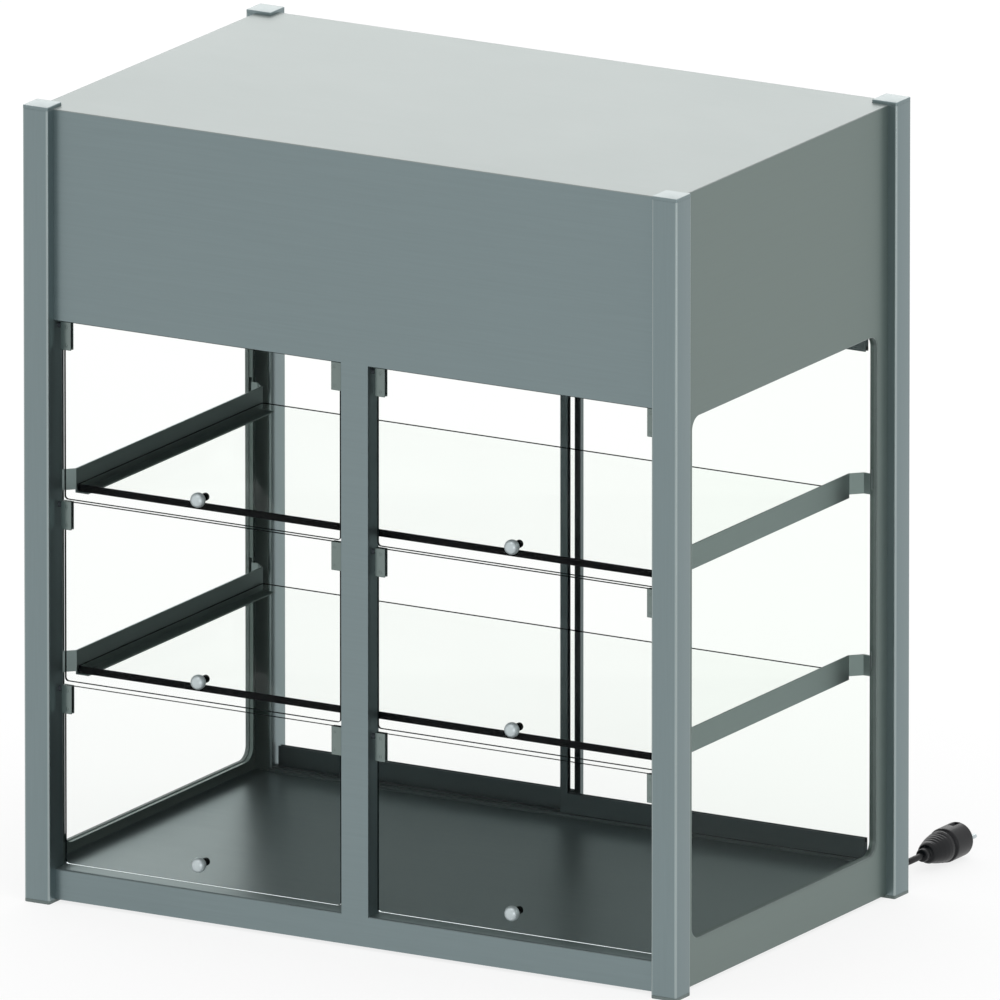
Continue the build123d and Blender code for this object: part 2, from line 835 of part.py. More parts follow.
def hinge_bush(wall_x, outward, z):
    """A collared bush in a wall, bored for a pivot pin."""
    collar_end = wall_x - outward * (clamp_side_gap - bush_end_gap)
    collar = rod((collar_end, pivot_y, z), (outward, 0, 0), bush_radius, clamp_side_gap - bush_end_gap)
    shank = rod((wall_x, pivot_y, z), (outward, 0, 0), bush_shank_radius, bush_shank_length)
    bore = rod((collar_end - outward, pivot_y, z), (outward, 0, 0),
               pin_radius + pin_bush_clearance, clamp_side_gap + bush_shank_length + 2)
    return collar + shank - bore


def hinge_bushes():
    bushes = []
    for z in hinge_heights():
        bushes += both_sides(hinge_bush(post_inner_x, 1, z))
        bushes += both_sides(hinge_bush(mullion_x, -1, z))
    return group(bushes)


# Rear sliding doors

def groove_centres():
    return [inner_door_front + door_depth / 2, outer_door_front + door_depth / 2]


def door_track(z0, z1, groove_z0, groove_z1):
    """A track extrusion with two grooves."""
    half = post_inner_x - track_side_gap
    track = block(-half, half, track_front, track_rear, z0, z1)
    for y in groove_centres():
        track = track - block(-half - 1, half + 1, y - track_groove / 2, y + track_groove / 2,
                              groove_z0, groove_z1)
    return track


def bottom_door_track():
    return door_track(rear_rail_top, track_top, track_top - track_groove_depth, track_top + 1)


def top_door_track():
    return door_track(top_track_bottom, hood_bottom, top_track_bottom - 1,
                      top_track_bottom + top_groove_depth)


def door_levels():
    return track_top + door_track_gap, top_track_bottom - door_top_gap


def door_layout(side):
    """Front plane, meeting edge, outer edge and stile of a door, as it stands in the right half."""
    edges = [-door_overlap / 2, post_inner_x - door_side_gap]
    if side == "right":
        return inner_door_front, *edges, inner_door_stile
    return outer_door_front, *edges, outer_door_stile


def door_pull(x1, rear, z0, depth):
    """A finger pull along the rear of the bottom rail, near the door's outer edge."""
    middle_z = z0 + door_rail_height / 2
    pull = block(x1 - pull_inset - pull_length, x1 - pull_inset, rear - door_depth / 2, rear + depth,
                 middle_z - pull_width / 2, middle_z + pull_width / 2)
    return fillet(pull.faces().sort_by(Axis.Y)[-1].edges(), inner_pull_depth / 3)


def door_frame(side):
    """A door's top rail, meeting stile and bottom rail, with its tongue, its two glides and its pull."""
    front, x0, x1, stile = door_layout(side)
    rear = front + door_depth
    middle = front + door_depth / 2
    z0, z1 = door_levels()
    frame = block(x0, x1, front, rear, z0, z1)
    frame = frame - block(x0 + stile, x1 + 1, front - 1, rear + 1,
                          z0 + door_rail_height, z1 - door_rail_height)
    seat = door_glass_seat + door_glass_gap
    half_groove = door_glass_thickness / 2 + door_glass_gap
    frame = frame - block(x0 + stile - seat, x1 + 1, middle - half_groove, middle + half_groove,
                          z0 + door_rail_height - seat, z1 - door_rail_height + seat)
    tongue = block(x0, x1, middle - door_tongue / 2, middle + door_tongue / 2, z1, z1 + door_tongue_length)
    frame = frame + tongue
    for start in (x0 + door_glide_inset, x1 - door_glide_inset - door_glide_length):
        frame = frame + block(start, start + door_glide_length, middle - door_tongue / 2,
                              middle + door_tongue / 2, z0 - door_glide_drop, z0)
    pull_depth = inner_pull_depth if side == "right" else outer_pull_depth
    return placed(frame + door_pull(x1, rear, z0, pull_depth), side)


def door_glass(side):
    """The door's pane, seated in its frame's groove on three sides, with its outer edge bare."""
    front, x0, x1, stile = door_layout(side)
    middle = front + door_depth / 2
    z0, z1 = door_levels()
    pane = block(x0 + stile - door_glass_seat, x1 - door_glass_setback,
                 middle - door_glass_thickness / 2, middle + door_glass_thickness / 2,
                 z0 + door_rail_height - door_glass_seat, z1 - door_rail_height + door_glass_seat)
    return placed(pane, side)


# Lamp and electrical parts

def led_diffuser():
    """The opal strip in the ceiling's slot, with a lip that lies on the ceiling."""
    half_x = lamp_length / 2 - diffuser_gap
    half_y = lamp_width / 2 - diffuser_gap
    low = hood_bottom + sheet - diffuser_drop
    strip = block(-half_x, half_x, lamp_y - half_y, lamp_y + half_y, low, ceiling_top)
    low_edges = strip.faces().sort_by(Axis.Z)[0].edges()
    strip = fillet(low_edges, diffuser_drop / 3)
    lip = block(-half_x - diffuser_lip, half_x + diffuser_lip, lamp_y - half_y - diffuser_lip,
                lamp_y + half_y + diffuser_lip, ceiling_top, ceiling_top + diffuser_lip_thickness)
    return strip + lip


def led_housing():
    """The lamp's folded housing over the diffuser, and the board of lights under its roof."""
    base = ceiling_top + diffuser_lip_thickness
    roof = base + lamp_housing_height
    half_x = lamp_length / 2 + diffuser_lip - diffuser_gap
    half_y = lamp_width / 2 + diffuser_lip - diffuser_gap
    wall = lamp_housing_wall
    shell = block(-half_x, half_x, lamp_y - half_y, lamp_y + half_y, base, roof)
    shell = shell - block(-half_x + wall, half_x - wall, lamp_y - half_y + wall, lamp_y + half_y - wall,
                          base - 1, roof - wall)
    board = block(-half_x + 2 * wall, half_x - 2 * wall,
                  lamp_y - lamp_board_width / 2, lamp_y + lamp_board_width / 2,
                  roof - wall - lamp_board_thickness, roof - wall)
    return group([shell, board])


def led_driver():
    """The lamp's driver on the ceiling panel, with an ear at each end."""
    long, wide, tall = driver_size
    x, y = driver_centre
    case = block(x - long / 2, x + long / 2, y - wide / 2, y + wide / 2, ceiling_top, ceiling_top + tall)
    case = fillet(case.edges().filter_by(Axis.Z), driver_fillet)
    ears = block(x - long / 2 - driver_ear, x + long / 2 + driver_ear,
                 y - driver_ear_width / 2, y + driver_ear_width / 2,
                 ceiling_top, ceiling_top + driver_ear_thickness)
    return case + ears


def terminal_pole_x(index):
    pitch = terminal_size[0] / terminal_poles
    return terminal_centre[0] + (index - (terminal_poles - 1) / 2) * pitch


def terminal_block():
    """The terminal block where the mains lead ends, with a screw well over each pole."""
    long, wide, tall = terminal_size
    x, y = terminal_centre
    body = block(x - long / 2, x + long / 2, y - wide / 2, y + wide / 2, ceiling_top, ceiling_top + tall)
    for index in range(terminal_poles):
        start = (terminal_pole_x(index), y, ceiling_top + tall - terminal_screw_depth)
        body = body - rod(start, (0, 0, 1), terminal_screw_radius, terminal_screw_depth + 1)
    return body


def rocker_pivot():
    """The rocker's pivot axis, in y and z."""
    return rear_plane + switch_bezel_thickness - rocker_pivot_depth, switch_z


def switch_body():
    """The switch's snap-in body behind the panel, its bezel, and the well the rocker sits in."""
    half_x, half_z = switch_body_size[0] / 2, switch_body_size[1] / 2
    bezel_x, bezel_z = switch_bezel[0] / 2, switch_bezel[1] / 2
    outer = rear_plane + switch_bezel_thickness
    body = block(switch_x - half_x, switch_x + half_x, rear_plane - switch_body_depth, rear_plane,
                 switch_z - half_z, switch_z + half_z)
    bezel = block(switch_x - bezel_x, switch_x + bezel_x, rear_plane, outer,
                  switch_z - bezel_z, switch_z + bezel_z)
    bezel = fillet(bezel.faces().sort_by(Axis.Y)[-1].edges(), switch_bezel_thickness / 2)
    well = block(switch_x - half_x + switch_wall, switch_x + half_x - switch_wall,
                 outer - switch_well_depth - switch_bezel_thickness, outer + 1,
                 switch_z - half_z + switch_wall, switch_z + half_z - switch_wall)
    pivot_depth, pivot_z = rocker_pivot()
    pin_length = switch_body_size[0] - switch_wall
    pin_hole = rod((switch_x - pin_length / 2, pivot_depth, pivot_z), (1, 0, 0),
                   rocker_pin_radius + pin_bush_clearance, pin_length)
    return body + bezel - well - pin_hole


def switch_rocker():
    """The rocker: two flats that meet in a shallow valley, on a pivot pin, tilted to its off side."""
    pivot_depth, pivot_z = rocker_pivot()
    half_x = switch_body_size[0] / 2 - switch_wall - rocker_gap
    reach = switch_body_size[1] / 2 - switch_wall - 2 * rocker_gap
    back_reach = reach * rocker_back_share
    outline = [
        (-rocker_back, -back_reach),
        (-rocker_back - rocker_back_bulge, 0),
        (-rocker_back, back_reach),
        (rocker_crown, reach),
        (rocker_crown - rocker_dip, 0),
        (rocker_crown, -reach),
    ]
    points = [(switch_x - half_x, pivot_depth + y, pivot_z + z) for y, z in outline]
    body = extrude(make_face(Polyline(*points, close=True)), 2 * half_x, dir=(1, 0, 0))
    pin_length = switch_body_size[0] - switch_wall - 2 * rocker_pin_gap
    pin = rod((switch_x - pin_length / 2, pivot_depth, pivot_z), (1, 0, 0), rocker_pin_radius, pin_length)
    rocker = body + pin
    return rocker.rotate(Axis((switch_x, pivot_depth, pivot_z), (1, 0, 0)), rocker_tilt)


# Mains lead, gland and plug

def cable_gland():
    """The gland in the rear rail: lock nut inside, thread, outer nut and tapered strain relief."""
    inner = rear_plane - sheet
    outer_nut = hexagon_bar((gland_x, rear_plane, gland_z), (0, 1, 0), gland_nut_radius, gland_nut_thickness)
    lock_nut = hexagon_bar((gland_x, inner - gland_lock_nut, gland_z), (0, 1, 0),
                           gland_nut_radius, gland_lock_nut)
    thread = rod((gland_x, inner - gland_lock_nut - gland_thread_stub, gland_z), (0, 1, 0),
                 gland_thread_radius, gland_lock_nut + gland_thread_stub + sheet + gland_nut_thickness)
    boot_plane = Plane(origin=(gland_x, rear_plane + gland_nut_thickness, gland_z), z_dir=(0, 1, 0))
    boot = Solid.make_cone(gland_boot_base_radius, gland_boot_tip_radius, gland_boot_length, boot_plane)
    return joined([outer_nut, lock_nut, thread, boot])


def corner_radii(points):
    """The largest arc at each corner of a route: 0.45 of the shorter run over the half turn's tangent."""
    radii = []
    for before, corner, after in zip(points, points[1:], points[2:]):
        arriving = Vector(corner) - Vector(before)
        leaving = Vector(after) - Vector(corner)
        half_turn = math.radians(arriving.get_angle(leaving)) / 2
        shorter = min(arriving.length, leaving.length)
        radii.append(0.45 * shorter / math.tan(half_turn))
    return radii


def tube_along(points, radius, radii):
    """A round tube along straight runs joined by tangent arcs."""
    path = FilletPolyline(*points, radius=radii)
    start = Vector(points[0])
    direction = Vector(points[1]) - start
    section = Plane(origin=start, z_dir=direction) * Circle(radius)
    tube = sweep(section, path=path)
    expected = math.pi * radius ** 2 * path.length
    print("tube length", round(path.length, 1), "volume over section times length",
          round(tube.volume / expected, 4))
    return tube, path.length


def coil_point(turn):
    """The coil's centre line after a number of turns, counter-clockwise from its +X side.

    It spirals in on the upper layer, reverses half way, steps down a layer within the half turn
    round the reversal, and spirals out on the lower layer.
    """
    middle = coil_turns / 2
    radius = coil_radius - coil_pitch * (middle - abs(turn - middle))
    along = min(max((turn - middle) / 0.25, -1), 1)
    z = cord_diameter / 2 + coil_layer_step * (1 - math.sin(along * math.pi / 2)) / 2
    angle = 2 * math.pi * turn
    return Vector(coil_centre[0] + radius * math.cos(angle), coil_centre[1] + radius * math.sin(angle), z)


def coil_tangent(turn):
    """The direction of the centre line, from points a little before and after."""
    step = 0.001
    return (coil_point(turn + step) - coil_point(turn - step)).normalized()


def biarc(start, start_direction, end, end_direction):
    """Two arcs that join two points and keep both directions."""
    chord = end - start
    both = start_direction + end_direction
    a = 2 * (start_direction.dot(end_direction) - 1)
    b = -2 * chord.dot(both)
    c = chord.dot(chord)
    reach = (-b - math.sqrt(b * b - 4 * a * c)) / (2 * a)
    first_control = start + start_direction * reach
    second_control = end - end_direction * reach
    joint = (first_control + second_control) / 2
    joint_direction = (second_control - first_control).normalized()
    return [
        Edge.make_tangent_arc(start, start_direction, joint),
        Edge.make_tangent_arc(joint, joint_direction, end),
    ]


def coil_route():
    """The coil's path: a short straight end, a pair of arcs for each quarter turn, a straight end."""
    quarters = math.floor(coil_turns * 4)
    first = (coil_turns - quarters / 4) / 2 + 0.125
    turns = [0] + [first + quarter / 4 for quarter in range(quarters)] + [coil_turns]
    points = [coil_point(turn) for turn in turns]
    directions = [coil_tangent(turn) for turn in turns]
    directions[0] = Vector(0, 1, 0)
    directions[-1] = Vector(1, 0, 0)
    lead_in = points[0] - directions[0] * cord_diameter
    lead_out = points[-1] + directions[-1] * cord_diameter
    edges = [Edge.make_line(lead_in, points[0])]
    for index in range(len(turns) - 1):
        edges += biarc(points[index], directions[index], points[index + 1], directions[index + 1])
    edges.append(Edge.make_line(points[-1], lead_out))
    return Wire(edges)


def report_coil_gap():
    """Print the least gap between turns of the coil that are not neighbours along the lead."""
    steps = 24
    count = round(coil_turns * steps)
    points = [coil_point(index / steps) for index in range(count + 1)]
    least = min(
        (points[first] - points[second]).length
        for first in range(count + 1)
        for second in range(first + steps // 2, count + 1)
    )
    print("coil: least gap to itself", round(least - cord_diameter, 2))


def cord_coil():
    """The put-away length of the lead as one unbroken tube."""
    path = coil_route()
    start = path.position_at(0)
    section = Plane(origin=start, z_dir=(0, 1, 0)) * Circle(cord_diameter / 2)
    tube = sweep(section, path=path)
    expected = math.pi * (cord_diameter / 2) ** 2 * path.length
    print("coil length", round(path.length, 1), "volume over section times length",
          round(tube.volume / expected, 4))
    return tube, path.length


def plug_body():
    """The moulded body: neck ring, swelling grip, and a round head with two side slots."""
    neck = plug_neck_y
    centre_z = plug_head_radius
    grip_start = neck + plug_ring_length
    head_start = grip_start + plug_grip_length
    face = head_start + plug_head_length
    axis = Axis((plug_x, neck, centre_z), (0, 1, 0))
    ring = rod((plug_x, neck, centre_z), (0, 1, 0), plug_ring_radius, plug_ring_length + 1)
    ring = fillet(ring.faces().sort_by(Axis.Y)[0].edges(), plug_ring_radius / 4)
    grip_end = head_start + plug_head_fillet
    profile = [
        (plug_grip_radius, plug_grip_round),
        (plug_grip_shoulder, plug_grip_length * 0.28),
        (plug_waist_radius, plug_grip_length * 0.8),
        (plug_waist_radius, grip_end - grip_start),
    ]
    corners = [(plug_x + radius, grip_start + along, centre_z) for radius, along in profile]
    grip_outline = [
        Polyline((plug_x, grip_end, centre_z), (plug_x, grip_start, centre_z),
                 (plug_x + plug_grip_radius - plug_grip_round, grip_start, centre_z), corners[0]),
        Spline(*corners),
        Line(corners[-1], (plug_x, grip_end, centre_z)),
    ]
    grip = revolve(make_face(grip_outline), axis, 360)
    head = rod((plug_x, head_start, centre_z), (0, 1, 0), plug_head_radius, plug_head_length)
    head = fillet(head.edges().filter_by(GeomType.CIRCLE), plug_head_fillet)
    body = joined([ring, grip, head])
    for side in (-1, 1):
        slot_z = centre_z + side * plug_head_radius
        slot = block(plug_x - plug_slot_width / 2, plug_x + plug_slot_width / 2,
                     face - plug_slot_length, face + 1,
                     slot_z - plug_slot_depth, slot_z + plug_slot_depth)
        body = body - slot
    return body, face


def plug():
    """The plug's body and its two pins."""
    body, face = plug_body()
    solids = [body]
    for side in (-1, 1):
        x = plug_x + side * plug_pin_spacing / 2
        pin = rod((x, face, plug_head_radius), (0, 1, 0), plug_pin_radius, plug_pin_length)
        solids.append(fillet(pin.faces().sort_by(Axis.Y)[-1].edges(), plug_pin_radius * 0.6))
    return group(solids)


# Internal wiring

def wiring_routes():
    """Each inside lead's radius and points, from terminal to terminal."""
    long, wide, tall = terminal_size
    block_x, block_y = terminal_centre
    wire_z = ceiling_top + tall / 2
    gland_end = rear_plane - sheet - gland_lock_nut - gland_thread_stub
    post_x = half_width - post_side / 2
    mains = [
        (gland_x, gland_end, gland_z),
        (gland_x, gland_end - 28.0, gland_z),
        (post_inner_x - 44.0, gland_end - 42.0, gland_z),
        (post_inner_x - 26.0, lead_post_y - 26.0, gland_z),
        (post_inner_x - 15.0, lead_post_y, gland_z),
        (post_x, lead_post_y, gland_z),
        (post_x, lead_post_y, lead_exit_z),
        (post_inner_x - 17.0, lead_post_y, lead_exit_z),
        (post_inner_x - 44.0, lead_post_y - 12.0, lead_exit_z - 28.0),
        (block_x, block_y + wide / 2 + 24.0, wire_z),
        (block_x, block_y + wide / 2, wire_z),
    ]
    switch_pole = terminal_pole_x(0)
    switch = [
        (switch_x, rear_plane - switch_body_depth, switch_z),
        (switch_x, rear_plane - switch_body_depth - 18.0, switch_z),
        (switch_x - 2.0, rear_plane - switch_body_depth - 30.0, switch_z - 50.0),
        (switch_pole, block_y + wide / 2 + 22.0, wire_z),
        (switch_pole, block_y + wide / 2, wire_z),
    ]
    driver_x, driver_y = driver_centre
    driver_z = ceiling_top + driver_size[2] / 2
    driver = [
        (driver_x + driver_size[0] / 2, driver_y, driver_z),
        (driver_x + driver_size[0] / 2 + 24.0, driver_y, driver_z),
        (block_x - 30.0, driver_y + 40.0, wire_z),
        (block_x, block_y - wide / 2 - 22.0, wire_z),
        (block_x, block_y - wide / 2, wire_z),
    ]
    lamp_rear = lamp_y + lamp_width / 2 + diffuser_lip - diffuser_gap
    lamp = [
        (driver_x - driver_size[0] / 2, driver_y, driver_z),
        (driver_x - driver_size[0] / 2 - 24.0, driver_y, driver_z),
        (20.0, driver_y - 60.0, wire_z),
        (0.0, lamp_rear + 30.0, wire_z),
        (0.0, lamp_rear, wire_z),
    ]
    return [(cord_diameter / 2, mains), (wire_radius, switch), (wire_radius, driver), (wire_radius, lamp)]


def internal_wiring():
    """The mains lead inside the post, and the leads of the switch, the driver and the lamp."""
    solids = []
    for radius, points in wiring_routes():
        radii = corner_radii(points)
        tube, length = tube_along(points, radius, radii)
        solids.append(tube)
    return group(solids)


def free_lead(name, points):
    """A free stretch of the mains lead."""
    radii = corner_radii(points)
    print(name, "radii", [round(radius, 1) for radius in radii])
    return tube_along(points, cord_diameter / 2, radii)


def nodes():
    """Every sub-part of the cabinet under its name."""
    parts = {
        "post_front_left": front_post(-1),
        "post_front_right": front_post(1),
        "post_rear_left": rear_post(-1),
        "post_rear_right": rear_post(1),
        "post_top_caps": at_posts(post_cap(), tube_top),
        "post_feet": at_posts(post_foot(), 0),
        "front_frame": front_frame(),
        "side_panel_left": mirror(side_panel(), about=Plane.YZ),
        "side_panel_right": side_panel(),
        "side_glass_left": mirror(side_glass(), about=Plane.YZ),
        "side_glass_right": side_glass(),
        "side_glass_seals": group(both_sides(side_seal())),
        "top_cover": top_cover(),
        "rear_hood_panel": rear_hood_panel(),
        "rear_base_rail": rear_base_rail(),
        "ceiling_panel": ceiling_panel(),
        "floor_deck": floor_deck(),
        "deck_bearers": deck_bearers(),
        "bottom_door_track": bottom_door_track(),
        "top_door_track": top_door_track(),
        "hinge_bushes": hinge_bushes(),
        "rail_screws": rail_screws(),
        "led_diffuser": led_diffuser(),
        "led_housing": led_housing(),
        "led_driver": led_driver(),
        "terminal_block": terminal_block(),
        "switch_body": switch_body(),
        "switch_rocker": switch_rocker(),
        "internal_wiring": internal_wiring(),
        "cable_gland": cable_gland(),
        "plug": plug(),
    }
    for name, shelf_top in zip(shelf_names, shelf_tops):
        parts["shelf_rails_" + name] = group(both_sides(shelf_rail(shelf_top)))
        parts["shelf_glass_" + name] = shelf_glass(shelf_top)
    for side in column_names:
        parts["rear_door_frame_" + side] = door_frame(side)
        parts["rear_door_glass_" + side] = door_glass(side)
    for row, row_name in enumerate(row_names):
        for column in column_names:
            place = row_name + "_" + column
            parts["flap_pane_" + place] = placed(flap_pane(row), column)
            parts["hinge_clamps_" + place] = hinge_clamps(row, column)
            parts["flap_knob_" + place] = flap_knob(row, column)
    lead, lead_length = free_lead("lead", lead_points)
    tail, tail_length = free_lead("tail", tail_points)
    coil, coil_length = cord_coil()
    report_coil_gap()
    print("mains lead outside the cabinet", round(lead_length + tail_length + coil_length))
    parts["cord_lead"] = lead
    parts["cord_coil"] = coil
    parts["cord_tail"] = tail
    return parts


def main():
    os.makedirs("parts", exist_ok=True)
    for name, shape in nodes().items():
        export_step(shape, os.path.join("parts", name + ".step"))


main()
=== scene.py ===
# %% [markdown]
# This notebook dresses a countertop food display cabinet: a stainless cabinet on four square posts, with
# a closed hood, two glass shelves, six clear flap doors and two sliding doors behind.
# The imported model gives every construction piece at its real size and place. It could all be modelled
# again here, but then nothing would be sure to fit, so it is loaded as a fixed frame and dressed.

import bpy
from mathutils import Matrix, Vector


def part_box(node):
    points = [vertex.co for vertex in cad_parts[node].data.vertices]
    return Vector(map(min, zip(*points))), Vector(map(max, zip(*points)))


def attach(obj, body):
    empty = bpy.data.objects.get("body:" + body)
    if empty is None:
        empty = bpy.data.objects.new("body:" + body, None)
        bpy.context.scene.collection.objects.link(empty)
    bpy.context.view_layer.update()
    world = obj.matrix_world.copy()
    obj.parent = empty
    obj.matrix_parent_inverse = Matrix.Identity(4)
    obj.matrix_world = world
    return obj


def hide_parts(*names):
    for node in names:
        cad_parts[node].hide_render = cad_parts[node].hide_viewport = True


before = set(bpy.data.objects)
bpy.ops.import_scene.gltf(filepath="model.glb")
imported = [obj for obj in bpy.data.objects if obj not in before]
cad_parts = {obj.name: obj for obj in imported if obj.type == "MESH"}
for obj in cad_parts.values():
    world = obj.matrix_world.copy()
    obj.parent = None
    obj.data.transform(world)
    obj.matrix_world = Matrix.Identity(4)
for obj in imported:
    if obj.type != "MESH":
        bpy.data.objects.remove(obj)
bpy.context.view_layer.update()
print("nodes loaded:", len(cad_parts))

# %% Libraries and units
import math

import bmesh
import bpy
import numpy as np
from mathutils import Vector

MM = 0.001
scene = bpy.context.scene
scene.view_settings.view_transform = "Standard"
print("view transform:", scene.view_settings.view_transform)

# %% [markdown]
# A maker's drawing is close to a parallel projection, and so is the photograph of this cabinet. An
# orthographic camera would copy that exactly, but it crops the other views, because its frame doesn't grow
# with the object. A very long lens far away has nearly the same picture and keeps every view whole.

# %% Camera at the photograph's angle
VIEW_AZIMUTH = math.radians(30)
VIEW_ELEVATION = math.radians(15)
VIEW_WIDTH = 1037 * MM
LENS = 1650.0
SENSOR = 36.0
VIEW_CENTRE = Vector((-23.7, 109.7, 398.6)) * MM
# The picture's scale is exact on the plane that lies this far in front of the view's centre
NEAR_SHIFT = 110 * MM


def back_direction(azimuth, elevation):
    """The unit vector from the object to the camera: (sin a cos e, -cos a cos e, sin e)."""
    flat = math.cos(elevation)
    return Vector((math.sin(azimuth) * flat, -math.cos(azimuth) * flat, math.sin(elevation)))


camera_data = bpy.data.cameras.new("camera")
camera_data.sensor_width = SENSOR
camera_data.lens = LENS
distance = VIEW_WIDTH * LENS / SENSOR
back = back_direction(VIEW_AZIMUTH, VIEW_ELEVATION)
camera = bpy.data.objects.new("camera", camera_data)
camera.location = VIEW_CENTRE + back * (distance + NEAR_SHIFT)
camera.rotation_mode = "QUATERNION"
camera.rotation_quaternion = (-back).to_track_quat("-Z", "Y")
camera_data.clip_start = distance / 10
camera_data.clip_end = distance * 2
scene.collection.objects.link(camera)
scene.camera = camera
print("camera distance:", round(distance, 2), "m")

# %% [markdown]
# Colours are written as sRGB hex values, which is how a paint chart gives them, and Blender's sockets
# want linear light. One function turns one into the other, and one small function adds any shader node with
# its settings and its links, so that a material reads as a list of what feeds what.

# %% Colour and node helpers


def linear(code):
    """Linear red, green, blue and alpha of an sRGB hex code: ((c + 0.055) / 1.055) to the power 2.4."""
    values = np.array([int(code[i:i + 2], 16) for i in (1, 3, 5)]) / 255
    low = values / 12.92
    high = ((values + 0.055) / 1.055) ** 2.4
    return (*np.where(values <= 0.04045, low, high).tolist(), 1.0)


def add(tree, kind, values=None, links=None, **settings):
    """Adds a node: settings are its own, values go to its inputs, and links join its inputs to sources."""
    node = tree.nodes.new(kind)
    for name, value in settings.items():
        setattr(node, name, value)
    for name, value in (values or {}).items():
        node.inputs[name].default_value = value
    for name, source in (links or {}).items():
        tree.links.new(source, node.inputs[name])
    return node


def empty_material(name):
    """A material with an output node and nothing else."""
    material = bpy.data.materials.new(name)
    material.use_nodes = True
    material.node_tree.nodes.clear()
    output = add(material.node_tree, "ShaderNodeOutputMaterial")
    return material, material.node_tree, output


print("colour and node helpers ready")

# %% [markdown]
# The sheets, posts and rails are AISI 304 stainless with a satin belt finish. What the eye sees is a dull
# mirror: it takes its brightness from the floor and the walls around it, blurred along fine parallel
# scratches. Each sheet keeps one grain direction. The real scratches are about 0.1 mm apart, too fine for
# a picture in which a pixel is 1 mm, so the grain is drawn about 2 mm apart and kept faint. The Bevel node
# rounds the edges of the flat sheets by a fraction of a millimetre, as deburring does.

# %% Satin stainless steel
GRAIN_ACROSS = 2.2 * MM
GRAIN_ALONG = 90 * MM
SCRATCH_DEPTH = 0.1 * MM
CLOUD_SIZE = 260 * MM
CLOUD_SHARE = 0.35
# The grain and its share of cloud together lie between these
PATTERN_LOW, PATTERN_HIGH = 0.3, 1.05
ROUGHNESS_SWING = 0.05
DEBURR = 0.5 * MM


def grain_scale(along):
    """Noise cells per metre on each axis, long in the grain's direction."""
    scale = [1 / GRAIN_ACROSS] * 3
    scale["xyz".index(along)] = 1 / GRAIN_ALONG
    return scale


def satin_steel(name, colour, along, roughness=0.36, metallic=0.9, contrast=0.05, relief=0.04):
    """Satin stainless: the grain shades the colour by a few parts in a hundred, varies the roughness and
    lifts the surface by a hair, and a cloud of broad noise keeps large sheets from looking flat. A lower
    metallic value gives the milky, even look of a sheet whose finish scatters most of what it mirrors."""
    material, tree, output = empty_material(name)
    place = add(tree, "ShaderNodeTexCoord").outputs["Object"]
    stretched = add(tree, "ShaderNodeMapping", {"Scale": grain_scale(along)}, {"Vector": place})
    grain = add(tree, "ShaderNodeTexNoise", {"Scale": 1.0, "Detail": 2.0, "Roughness": 0.6},
                {"Vector": stretched.outputs[0]}).outputs["Fac"]
    cloud = add(tree, "ShaderNodeTexNoise", {"Scale": 1 / CLOUD_SIZE, "Detail": 2.0},
                {"Vector": place}).outputs["Fac"]
    both = add(tree, "ShaderNodeMath", {1: CLOUD_SHARE}, {0: cloud, 2: grain},
               operation="MULTIPLY_ADD").outputs[0]
    span = {"From Min": PATTERN_LOW, "From Max": PATTERN_HIGH}
    shade = add(tree, "ShaderNodeMapRange", {**span, "To Min": 1 - contrast, "To Max": 1 + contrast},
                {"Value": both}).outputs[0]
    tint = add(tree, "ShaderNodeVectorMath", {0: linear(colour)[:3]}, {"Scale": shade},
               operation="SCALE").outputs[0]
    rough = add(tree, "ShaderNodeMapRange",
                {**span, "To Min": roughness - ROUGHNESS_SWING, "To Max": roughness + ROUGHNESS_SWING},
                {"Value": both}).outputs[0]
    edge = add(tree, "ShaderNodeBevel", {"Radius": DEBURR}, samples=4).outputs[0]
    lift = add(tree, "ShaderNodeBump", {"Strength": relief, "Distance": SCRATCH_DEPTH},
               {"Height": grain, "Normal": edge}).outputs[0]
    shader = add(tree, "ShaderNodeBsdfPrincipled", {"Metallic": metallic},
                 {"Base Color": tint, "Roughness": rough, "Normal": lift})
    tree.links.new(shader.outputs[0], output.inputs[0])
    return material


post_steel = satin_steel("satin_stainless_post", "#7c8a8c", "z")
sheet_steel = satin_steel("satin_stainless_sheet", "#7c8a8c", "x")
# The side sheets are a darker, greener copy of the steel: painted shade on the sides
side_painted_shade_steel = satin_steel("stainless_side_painted_shade", "#6d7a76", "y", metallic=0.7)
# The corner rounds are a lighter, smoother copy of the steel: a painted highlight down each corner
painted_highlight_steel = satin_steel("stainless_corner_painted_highlight", "#98a4a4", "z", roughness=0.3)
# The lid is a lighter copy of the steel: painted light, as light from above makes a top
lid_painted_light_steel = satin_steel("stainless_lid_painted_light", "#8f9795", "x", roughness=0.42, metallic=0.6)
# The caps' tops are a brighter copy of the steel: painted light from above
cap_painted_light_steel = satin_steel("bright_stainless_cap", "#9ca6a6", "x", roughness=0.4, metallic=0.6)
# The deck is a darker copy of the steel: painted shade inside the cabinet
deck_painted_shade_steel = satin_steel("stainless_deck_painted_shade", "#717d7e", "x", roughness=0.34, metallic=0.75,
                         contrast=0.02, relief=0.008)
# The rear doors' frames are a darker copy of the steel: painted shade inside the cabinet
door_painted_shade_steel = satin_steel("stainless_door_painted_shade", "#5c6768", "x", roughness=0.34, contrast=0.02, relief=0.008)
rail_steel = satin_steel("satin_stainless_rail", "#8b9795", "y")
clamp_steel = satin_steel("fine_satin_clamp", "#76827f", "z", roughness=0.32)
print("steel finishes made")

# %% [markdown]
# The ball knobs and the plug's pins are plated brass. Plating is a clear mirror, softened here to the
# satin silver that the knobs show. The tracks of the rear doors are dark anodised aluminium: a hard matt
# skin, darker than the steel, with extrusion lines along its length. The doors' frames are satin steel,
# painted darker than the sheets as shade inside the cabinet.

